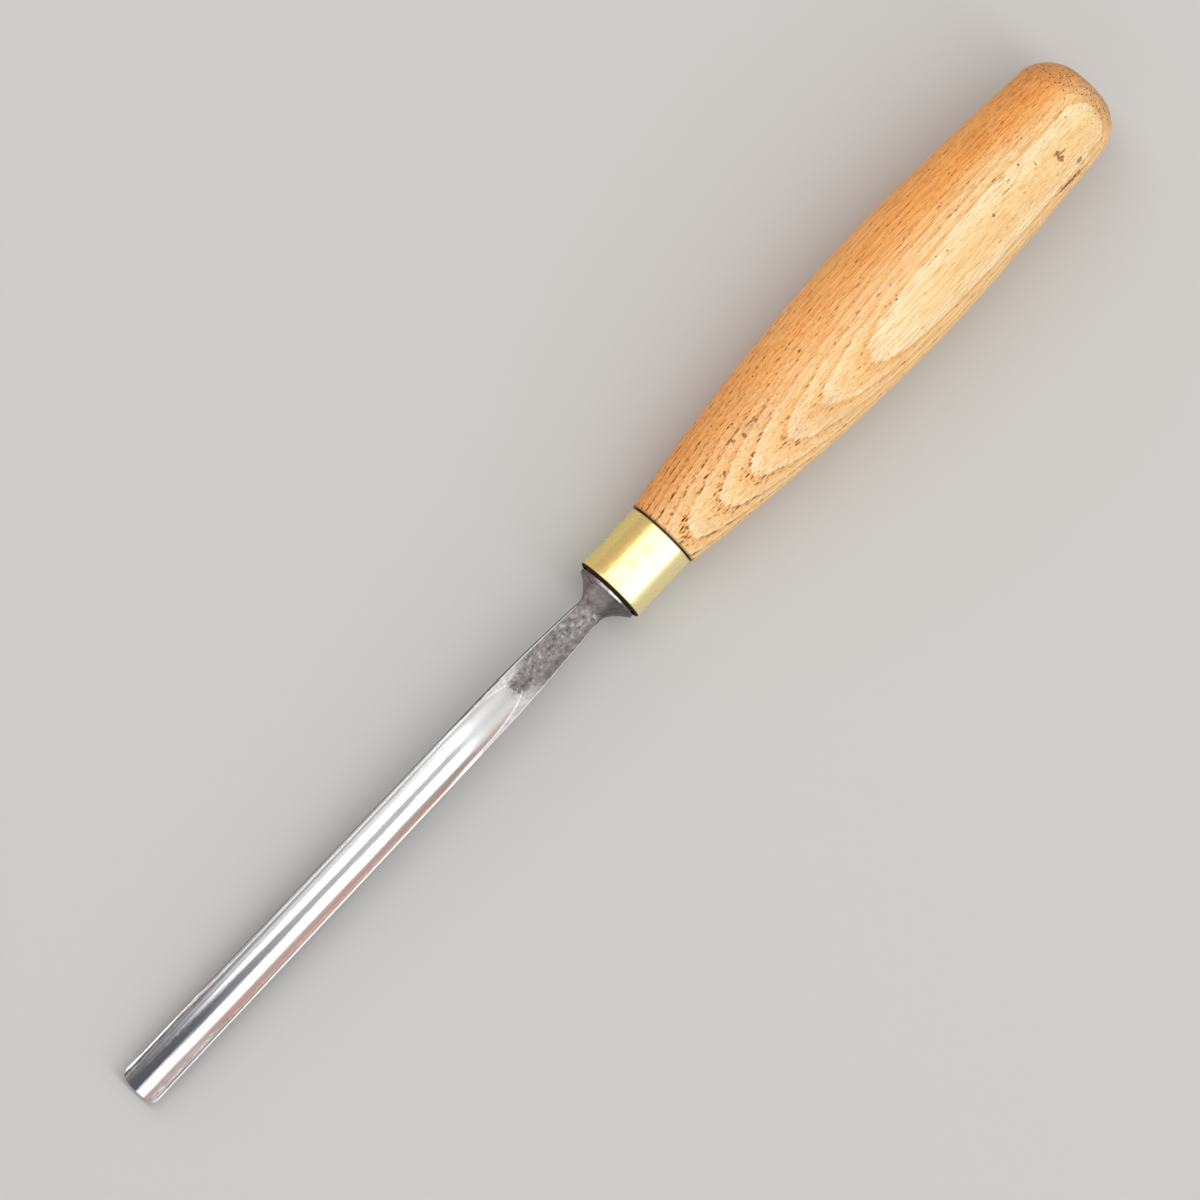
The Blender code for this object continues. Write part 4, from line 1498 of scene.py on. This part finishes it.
class Lathe:
    """Turns outlines into closed round pieces with Geometry Nodes."""

    INPUTS = {
        "Outline": "NodeSocketGeometry", "Segments": "NodeSocketInt", "Squareness": FLOAT,
        "Out Of Round": FLOAT, "Dent Centre": VECTOR, "Dent Size": VECTOR, "Dent Depth": FLOAT,
        "Wear From": FLOAT, "Wear Depth": FLOAT, "Material": "NodeSocketMaterial",
    }
    WEAR_EASE = 0.004

    def __init__(self) -> None:
        """Builds the node tree."""
        self.tree = bpy.data.node_groups.new("lathe", "GeometryNodeTree")
        self.tree.is_modifier = True
        for name, kind in self.INPUTS.items():
            self.tree.interface.new_socket(name, in_out="INPUT", socket_type=kind)
        self.tree.interface.new_socket("Piece", in_out="OUTPUT", socket_type="NodeSocketGeometry")
        nodes = Nodes(self.tree)
        given = {socket.name: socket for socket in nodes.add("NodeGroupInput").outputs if socket.name}
        shaped = self.aged(nodes, given, self.revolved(nodes, given))
        smooth = nodes.add("GeometryNodeSetShadeSmooth", {"Geometry": shaped}).outputs[0]
        real = nodes.add("GeometryNodeRealizeInstances", {"Geometry": smooth}).outputs[0]
        painted = nodes.add("GeometryNodeSetMaterial", {"Geometry": real, "Material": given["Material"]})
        nodes.add("NodeGroupOutput", {"Piece": painted.outputs[0]})

    @staticmethod
    def revolved(nodes: Nodes, given: dict[str, Socket]) -> Socket:
        """Lays a grid round the axis, with one row for each point of the outline.

        Args:
            nodes: The tree's nodes.
            given: The tree's inputs.

        Returns:
            The closed mesh, round or partly square as the outline says.
        """
        outline, segments, squareness = given["Outline"], given["Segments"], given["Squareness"]
        size = nodes.add("GeometryNodeAttributeDomainSize", {"Geometry": outline})
        around = nodes.plus(segments, 1.0)
        counts = {"Vertices X": size.outputs["Point Count"], "Vertices Y": around}
        grid = nodes.add("GeometryNodeMeshGrid", counts)
        index = nodes.add("GeometryNodeInputIndex").outputs[0]
        row = nodes.math("FLOOR", nodes.math("DIVIDE", index, around))
        column = nodes.minus(index, nodes.times(row, around))
        turn = nodes.math("DIVIDE", nodes.times(column, 2 * math.pi), segments)
        sample = nodes.add("GeometryNodeSampleIndex", data_type="FLOAT_VECTOR", domain="POINT")
        nodes.put(sample.inputs["Geometry"], outline)
        nodes.put(sample.inputs["Value"], nodes.add("GeometryNodeInputPosition").outputs[0])
        nodes.put(sample.inputs["Index"], row)
        along, reach, square_share = nodes.parts(sample.outputs["Value"])
        across, up = nodes.math("SINE", turn), nodes.math("COSINE", turn)
        powers = [nodes.math("POWER", nodes.math("ABSOLUTE", part), squareness) for part in (across, up)]
        square = nodes.math("POWER", nodes.plus(*powers), nodes.math("DIVIDE", -1.0, squareness))
        radius = nodes.times(reach, nodes.spread(square_share, 1.0, square))
        parts = {0: along, 1: nodes.times(radius, across), 2: nodes.times(radius, up)}
        point = nodes.add("ShaderNodeCombineXYZ", parts).outputs[0]
        turned = nodes.add("GeometryNodeSetPosition", {"Geometry": grid.outputs["Mesh"], "Position": point})
        closed = nodes.add("GeometryNodeMergeByDistance", {"Geometry": turned.outputs[0], "Distance": WELD})
        return closed.outputs[0]

    def aged(self, nodes: Nodes, given: dict[str, Socket], mesh: Socket) -> Socket:
        """Moves the surface by its unevenness, its dent and the knocks near the butt.

        Args:
            nodes: The tree's nodes.
            given: The tree's inputs.
            mesh: The turned mesh.

        Returns:
            The shaped mesh.
        """
        place = nodes.add("GeometryNodeInputPosition").outputs[0]
        outward = nodes.vector("NORMALIZE", nodes.scaled(place, 0.0, 1.0, 1.0))
        uneven = nodes.minus(nodes.noise(nodes.scaled(place, 60.0, 160.0, 160.0), 1.0, 3.0), 0.5)
        uneven = nodes.times(uneven, given["Out Of Round"])
        from_dent = nodes.vector("SUBTRACT", place, given["Dent Centre"])
        away = nodes.vector("LENGTH", nodes.vector("DIVIDE", from_dent, given["Dent Size"]))
        dent = nodes.times(nodes.step(away, 1.0, 0.0), given["Dent Depth"])
        knocks = nodes.step(nodes.noise(place, 420.0, 2.0), 0.52, 0.72)
        wear_end = nodes.plus(given["Wear From"], self.WEAR_EASE)
        worn = nodes.step(nodes.parts(place)[0], given["Wear From"], wear_end)
        knocks = nodes.times(nodes.times(knocks, worn), given["Wear Depth"])
        move = nodes.minus(uneven, nodes.plus(dent, knocks))
        offset = nodes.vector("SCALE", outward)
        nodes.put(offset.node.inputs["Scale"], move)
        return nodes.add("GeometryNodeSetPosition", {"Geometry": mesh, "Offset": offset}).outputs[0]

    def turn(
        self, name: str, outline: list[Point], values: dict[str, object], place: ToolFrame
    ) -> bpy.types.Object:
        """Turns one piece and lays it in its place.

        Args:
            name: Name of the piece.
            outline: Rows of (place along the tool, radius, share of squareness), from the butt's end to the
                front.
            values: The node tree's other inputs. One that isn't given is 0.
            place: Where the tool's frame lies.

        Returns:
            The piece.
        """
        mesh = bpy.data.meshes.new(name)
        mesh.from_pydata(outline, [], [])
        piece = new_piece(name, mesh)
        modifier = piece.modifiers.new("lathe", "NODES")
        modifier.node_group = self.tree
        for item in self.tree.interface.items_tree:
            if item.name in values:
                modifier[item.identifier] = values[item.name]
        evaluated = piece.evaluated_get(bpy.context.evaluated_depsgraph_get())
        turned = bpy.data.meshes.new_from_object(evaluated)
        piece.modifiers.remove(modifier)
        piece.data = turned
        lay_in_place(turned, place)
        return piece


def quarter_round(along: float, radius: float, size: float, sign: int) -> list[Point]:
    """Outlines a rounded outer edge, from the surface to the face.

    Args:
        along: Where the face is along the tool.
        radius: Radius of the surface.
        size: Radius of the rounding.
        sign: 1 where the piece lies behind the face, -1 where it lies before it.

    Returns:
        Rows of (place along the tool, radius, share of squareness).
    """
    angles = np.linspace(0, math.pi / 2, 8)
    return [(along + sign * size * (1 - math.sin(a)), radius - size * (1 - math.cos(a)), 0.0) for a in angles]


@dataclass(frozen=True)
class Ferrule:
    """The brass tube."""

    diameter: float = 0.01375
    wall: float = 0.001
    front_round: float = 0.0005
    back_round: float = 0.0002
    dent_from_front: float = 0.0059
    dent_reach: float = 0.00256
    dent_depth: float = 0.0003
    out_of_round: float = 0.00003
    segments: int = 160

    def build(self, lathe: Lathe, place: ToolFrame, material: bpy.types.Material) -> bpy.types.Object:
        """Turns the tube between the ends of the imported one.

        Args:
            lathe: What turns it.
            place: Where the tool's frame lies.
            material: Its material.

        Returns:
            The piece.
        """
        front, back = place.extent("ferrule")
        radius = self.diameter / 2
        bore = radius - self.wall
        plain = np.linspace(back - self.back_round, front + self.front_round, 60)[1:-1]
        outline = quarter_round(back, radius, self.back_round, -1)[::-1]
        outline += [(x, radius, 0.0) for x in plain]
        outline += quarter_round(front, radius, self.front_round, 1)
        outline += [(x, bore, 0.0) for x in np.linspace(front, back, 8)]
        outline.append(outline[0])
        values = {
            "Segments": self.segments, "Squareness": 2.0, "Out Of Round": self.out_of_round,
            "Dent Centre": (front + self.dent_from_front, radius, 0.0),
            "Dent Size": (self.dent_reach,) * 3, "Dent Depth": self.dent_depth, "Material": material,
        }
        return lathe.turn("brass_ferrule", outline, values, place)


@dataclass(frozen=True)
class Handle:
    """The turned handle, with a tenon for the ferrule and a square socket for the tang."""

    throat_diameter: float = 0.0142
    belly_diameter: float = 0.0244
    belly_from_ferrule: float = 0.0636
    heel_diameter: float = 0.0203
    dome_length: float = 0.0068
    butt_flat: float = 0.005
    tenon_diameter: float = 0.01115
    tenon_chamfer: float = 0.0004
    gap: float = 0.0003
    socket_spare: float = 0.001
    out_of_round: float = 0.00008
    wear_length: float = 0.006
    wear_depth: float = 0.00018
    segments: int = 192

    def radius(self, along: float, length: float) -> float:
        """Measures the handle before its butt is rounded.

        Args:
            along: Distance behind the ferrule.
            length: Length of the handle behind the ferrule.

        Returns:
            Its radius there.
        """
        throat, belly, heel = self.throat_diameter / 2, self.belly_diameter / 2, self.heel_diameter / 2
        if along < self.belly_from_ferrule:
            return mix(throat, belly, math.sin(math.pi / 2 * along / self.belly_from_ferrule) ** 0.9)
        fall = (along - self.belly_from_ferrule) / (length - self.dome_length - self.belly_from_ferrule)
        return mix(belly, heel, fall**1.45)

    def outside(self, throat: float, butt: float) -> list[Point]:
        """Outlines the grip from the middle of the butt to the throat.

        Args:
            throat: Where the grip starts along the tool.
            butt: Where it ends.

        Returns:
            Rows of (place along the tool, radius, share of squareness).
        """
        length = butt - throat
        heel = length - self.dome_length
        flat = self.butt_flat / 2
        outline = [(butt, r, 0.0) for r in np.linspace(0, flat, 7)]
        for angle in np.linspace(math.pi / 2, 0, 34)[1:-1]:
            along = heel + self.dome_length * math.sin(angle)
            outline.append((throat + along, mix(flat, self.radius(along, length), math.cos(angle)), 0.0))
        grip = np.linspace(heel, 0, 210)
        return outline + [(throat + along, self.radius(along, length), 0.0) for along in grip]

    def socket(self, front: float, blade: BladeSize, seat: float) -> list[Point]:
        """Outlines the square socket, from the rim of its mouth to the middle of its bottom.

        Args:
            front: Where the tenon starts along the tool.
            blade: Sizes of the blade, whose tang it holds.
            seat: Where the tang starts along the tool.

        Returns:
            Rows of (place along the tool, radius, share of squareness).
        """
        bottom = seat + blade.tang_length + self.socket_spare
        mouth = blade.tang_half(front - seat) + self.gap
        end = blade.tang_half(bottom - seat) + self.gap
        rim = np.linspace(self.tenon_diameter / 2 - self.tenon_chamfer, mouth, 8)
        outline = [(front, r, s) for r, s in zip(rim, np.linspace(0, 1, 8))]
        outline += [(mix(front, bottom, t), mix(mouth, end, t), 1.0) for t in np.linspace(0, 1, 20)[1:]]
        return outline + [(bottom, r, 1.0) for r in np.linspace(end, 0, 4)[1:]]

    def build(
        self, lathe: Lathe, place: ToolFrame, blade: BladeSize, seat: float, material: bpy.types.Material
    ) -> bpy.types.Object:
        """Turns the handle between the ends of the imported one.

        Args:
            lathe: What turns it.
            place: Where the tool's frame lies.
            blade: Sizes of the blade, whose tang it holds.
            seat: Where the tang starts along the tool.
            material: Its material.

        Returns:
            The piece.
        """
        front, butt = place.extent("handle")
        throat = place.extent("ferrule")[1] + self.gap
        tenon = self.tenon_diameter / 2
        shoulder = np.linspace(self.throat_diameter / 2, tenon, 5)[1:]
        outline = self.outside(throat, butt)
        outline += [(throat, r, 0.0) for r in shoulder]
        outline += [(x, tenon, 0.0) for x in np.linspace(throat, front + self.tenon_chamfer, 12)[1:]]
        outline += self.socket(front, blade, seat)
        values = {
            "Segments": self.segments, "Squareness": blade.tang_power, "Out Of Round": self.out_of_round,
            "Wear From": butt - self.wear_length, "Wear Depth": self.wear_depth, "Material": material,
        }
        return lathe.turn("ash_handle", outline, values, place)


class Studio:
    """The pale floor, the soft light above it and what else shows in the polished metal.

    The overhead lamp's reach and length and the warm wall's place are in heights of the lamp.
    """

    FLOOR_HALF = 6.0
    FLOOR_COLOUR = (0.59, 0.578, 0.548)
    HEIGHT = 1.2
    OVERHEAD_REACH = (-3.9, 0.82)
    OVERHEAD_LENGTH = 0.35
    OVERHEAD_ALONG = 0.1
    RADIANCE = 2.7
    FILL = 0.55
    FILL_SIZE = (1.6, 1.0)
    FILL_PLACE = (0.4, 1.3, 0.9)
    ROOM = ((0.76, 0.76, 0.79), (0.45, 0.45, 0.47))
    WALL_FROM_TOOL = 1.35
    WALL_TOP = 1.1
    WALL_ALONG = (-2.0, -0.02, 0.06)
    CARD_HEIGHT = 0.15
    CARD_START = -0.35
    CARD_END = -0.01
    FLAG_EDGE = (
        (-0.107, 0.004), (-0.089, -0.07), (-0.0925, -0.118), (-0.0967, -0.168), (-0.093, -0.337),
        (-0.0866, -0.45), (-0.078, -0.6), (-0.05, -1.22),
    )
    WARM = (0.88, 0.60, 0.52)
    WARM_END = (1.0, 0.72, 0.62)
    WHITE = (2.2, 2.2, 2.2)
    BRIGHT = (3.7, 3.7, 3.7)
    DARK = (0.12, 0.125, 0.15)
    BROWN = (0.14, 0.128, 0.12)
    GREY = (0.79, 0.78, 0.80)
    CAMERA_DISTANCE = 6.0
    CAMERA_LEAN = math.radians(8.9)
    SENSOR_WIDTH = 36.0
    FRAME_WIDTH = 0.21225
    AIM = 0.1199
    TOOL_IN_PICTURE = (0.687, 0.727)

    def __init__(self, place: ToolFrame) -> None:
        """Prepares the studio round the tool's frame."""
        self.place = place

    def floor(self) -> None:
        """A wide pale floor under the tool."""
        half = self.FLOOR_HALF
        mesh = bpy.data.meshes.new("floor")
        corners = [(-half, -half, 0), (half, -half, 0), (half, half, 0), (-half, half, 0)]
        mesh.from_pydata(corners, [], [(0, 1, 2, 3)])
        material = bpy.data.materials.new("studio_floor")
        material.use_nodes = True
        shader = material.node_tree.nodes["Principled BSDF"]
        shader.inputs["Base Color"].default_value = (*self.FLOOR_COLOUR, 1)
        shader.inputs["Roughness"].default_value = 0.9
        shader.inputs["Specular IOR Level"].default_value = 0.1
        mesh.materials.append(material)
        new_piece("studio_floor", mesh)

    def card(self, name: str, faces: list[list[Point]], near: Colour, far: Colour) -> None:
        """A card that only shows in reflections, and whose brightness changes along the tool.

        Args:
            name: Name of the card.
            faces: The corners of each of its faces.
            near: The light that it sends out at its end on the side of the edge.
            far: The light that it sends out at its other end.
        """
        corners = [corner for face in faces for corner in face]
        mesh = bpy.data.meshes.new(name)
        starts = np.cumsum([0] + [len(face) for face in faces]).tolist()
        mesh.from_pydata(corners, [], [tuple(range(first, last)) for first, last in zip(starts, starts[1:])])
        material = bpy.data.materials.new(name)
        material.use_nodes = True
        nodes = Nodes(material.node_tree)
        shader = material.node_tree.nodes["Principled BSDF"]
        nodes.put(shader.inputs["Base Color"], (0, 0, 0))
        nodes.put(shader.inputs["Specular IOR Level"], 0)
        nodes.put(shader.inputs["Emission Strength"], 1.0)
        position = nodes.add("ShaderNodeTexCoord").outputs["Object"]
        ends = [min(corner[0] for corner in corners), max(corner[0] for corner in corners)]
        share = nodes.step(nodes.parts(position)[0], *ends)
        nodes.put(shader.inputs["Emission Color"], nodes.blend(share, near, far))
        mesh.materials.append(material)
        card = new_piece(name, mesh)
        card.visible_camera = False
        card.visible_diffuse = False
        card.visible_shadow = False
        card.visible_transmission = False

    def lamp(
        self, name: str, size: tuple[float, float], radiance: float, place: Vector, turn: float
    ) -> bpy.types.Object:
        """A soft rectangular light that the camera doesn't see.

        Args:
            name: Name of the light.
            size: Its length along the tool and its width.
            radiance: Brightness of its surface.
            place: Where its middle is.
            turn: How far it is turned about the tool from shining straight down.

        Returns:
            The light.
        """
        data = bpy.data.lights.new(name, "AREA")
        data.shape = "RECTANGLE"
        data.size, data.size_y = size
        data.energy = radiance * math.pi * data.size * data.size_y
        lamp = bpy.data.objects.new(name, data)
        lamp.location = place
        lamp.rotation_euler = (turn, 0, 0)
        lamp.visible_camera = False
        bpy.context.scene.collection.objects.link(lamp)
        return lamp

    def lights(self) -> None:
        """A wide soft light above, mostly on the right of the tool, a weak one on the left, and a room."""
        height = self.HEIGHT
        near, far = [reach * height for reach in self.OVERHEAD_REACH]
        middle = Vector((self.OVERHEAD_ALONG, (near + far) / 2, height))
        self.lamp("overhead", (self.OVERHEAD_LENGTH * height, far - near), self.RADIANCE, middle, 0.0)
        place = Vector(self.FILL_PLACE)
        fill = self.lamp("side_fill", self.FILL_SIZE, self.FILL, place, -math.atan2(place.y, place.z))
        fill.visible_glossy = False
        world = bpy.data.worlds.new("room")
        world.use_nodes = True
        nodes = Nodes(world.node_tree)
        across = nodes.parts(nodes.add("ShaderNodeTexCoord").outputs["Generated"])[1]
        background = world.node_tree.nodes["Background"]
        nodes.put(background.inputs["Color"], nodes.blend(nodes.step(across, -0.9, 0.9), *self.ROOM))
        bpy.context.scene.world = world

    def level(self, *corners: tuple[float, float]) -> list[Point]:
        """One level face of a card over the blade, from its corners along and across the tool."""
        return [(x, y, self.CARD_HEIGHT) for x, y in corners]

    @staticmethod
    def upright(y: float, start: float, end: float, top: float) -> list[Point]:
        """One upright face of a card, from the floor to its top."""
        return [(start, y, 0), (end, y, 0), (end, y, top), (start, y, top)]

    def reflections(self) -> None:
        """What the polished steel shows: a warm wall on the left, and cards that lie low over the blade."""
        wall, top = self.WALL_FROM_TOOL * self.HEIGHT, self.WALL_TOP * self.HEIGHT
        wall_start, wall_turn, wall_end = self.WALL_ALONG
        self.card("warm_wall", [self.upright(wall, wall_start, wall_turn, top)], self.WARM, self.WARM)
        self.card("warm_wall_end", [self.upright(wall, wall_turn, wall_end, top)], self.WARM, self.WARM_END)
        start, end = self.CARD_START, self.CARD_END
        strip = [(start, 0.11), (end, 0.11), (end, 0.2), (-0.1, 0.2), (-0.106, 0.16), (start, 0.16)]
        self.card("bright_strip", [self.level(*strip)], self.WHITE, self.WHITE)
        steps = list(zip(self.FLAG_EDGE, self.FLAG_EDGE[1:]))
        before = [self.level((start, y0), (x0, y0), (x1, y1), (start, y1)) for (x0, y0), (x1, y1) in steps]
        beyond = [self.level((x0, y0), (end, y0), (end, y1), (x1, y1)) for (x0, y0), (x1, y1) in steps]
        last_x, last_y = self.FLAG_EDGE[-1]
        brown_end = self.upright(last_y, start, last_x, self.CARD_HEIGHT)
        grey_end = self.upright(last_y, last_x, end, self.CARD_HEIGHT)
        self.card("dark_flag", before[:3], self.DARK, self.DARK)
        self.card("brown_flag", before[3:] + [brown_end], self.BROWN, self.BROWN)
        self.card("pale_card", beyond[3:5], (1.0, 1.0, 1.0), (1.4, 1.4, 1.4))
        self.card("grey_card", beyond[5:] + [grey_end], (0.11, 0.104, 0.1), (0.95, 0.93, 0.92))
        near = [(-0.107, 0.027), (-0.065, 0.029), (-0.065, -0.045), (-0.107, -0.1)]
        self.card("near_flag", [self.level(*near)], (0.25, 0.25, 0.28), self.GREY)
        far = [(-0.065, 0.029), (end, 0.033), (end, -0.04), (-0.065, -0.045)]
        self.card("far_flag", [self.level(*far)], self.GREY, (1.0, 0.99, 0.99))
        strip = [(-0.006, -0.02), (0.045, -0.02), (0.045, -0.31), (-0.006, -0.31)]
        self.card("ferrule_strip", [self.level(*strip)], self.BRIGHT, self.BRIGHT)

    def camera(self) -> None:
        """Looks down on the tool, leaning towards its tip, with the tool across the picture's diagonal."""
        target = self.place.matrix @ Vector((self.AIM, 0, 0))
        lean = self.CAMERA_LEAN
        along = Vector((math.cos(lean), 0, math.sin(lean)))
        side = Vector((0, 1, 0))
        back = along.cross(side)
        right_share, up_share = self.TOOL_IN_PICTURE
        right = along * right_share - side * up_share
        up = along * up_share + side * right_share
        data = bpy.data.cameras.new("camera")
        data.sensor_width = self.SENSOR_WIDTH
        data.lens = self.SENSOR_WIDTH * self.CAMERA_DISTANCE / self.FRAME_WIDTH
        data.clip_start = 0.01
        data.clip_end = 30
        camera = bpy.data.objects.new("camera", data)
        turn = Matrix((right.normalized(), up.normalized(), back.normalized())).transposed().to_4x4()
        camera.matrix_world = Matrix.Translation(target + back * self.CAMERA_DISTANCE) @ turn
        scene = bpy.context.scene
        scene.collection.objects.link(camera)
        scene.camera = camera
        scene.view_settings.view_transform = "Standard"


def put_in_place(
    piece: bpy.types.Object, node: str, material: bpy.types.Material | None = None
) -> None:
    """Lets a piece ride on the model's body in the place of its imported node.

    Args:
        piece: The piece.
        node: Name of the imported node.
        material: Its material, if it has none yet.
    """
    if material:
        piece.data.materials.append(material)
    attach(piece, "root")
    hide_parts(node)
    LOG.info("%s: %d vertices", piece.name, len(piece.data.vertices))


def main() -> None:
    """Builds the gouge's pieces and the studio."""
    logging.basicConfig(level=logging.INFO, format="%(name)s: %(message)s")
    place = ToolFrame.read(frame["record"])
    effects = Effects()
    size = BladeSize()
    seat = place.extent("blade")[1] - size.tang_length
    blade = Blade(size, seat).build(place)
    put_in_place(blade, "blade", ForgedSteel(effects, place).build(seat * TO_MM))
    lathe = Lathe()
    tube = [end * TO_MM for end in place.extent("ferrule")]
    ferrule = Ferrule().build(lathe, place, TurnedBrass(effects, place).build(*tube))
    put_in_place(ferrule, "ferrule")
    handle = Handle().build(lathe, place, size, seat, OiledAsh(effects, place).build(tube[1]))
    put_in_place(handle, "handle")
    studio = Studio(place)
    studio.floor()
    studio.lights()
    studio.reflections()
    studio.camera()


if __name__ == "__main__":
    main()
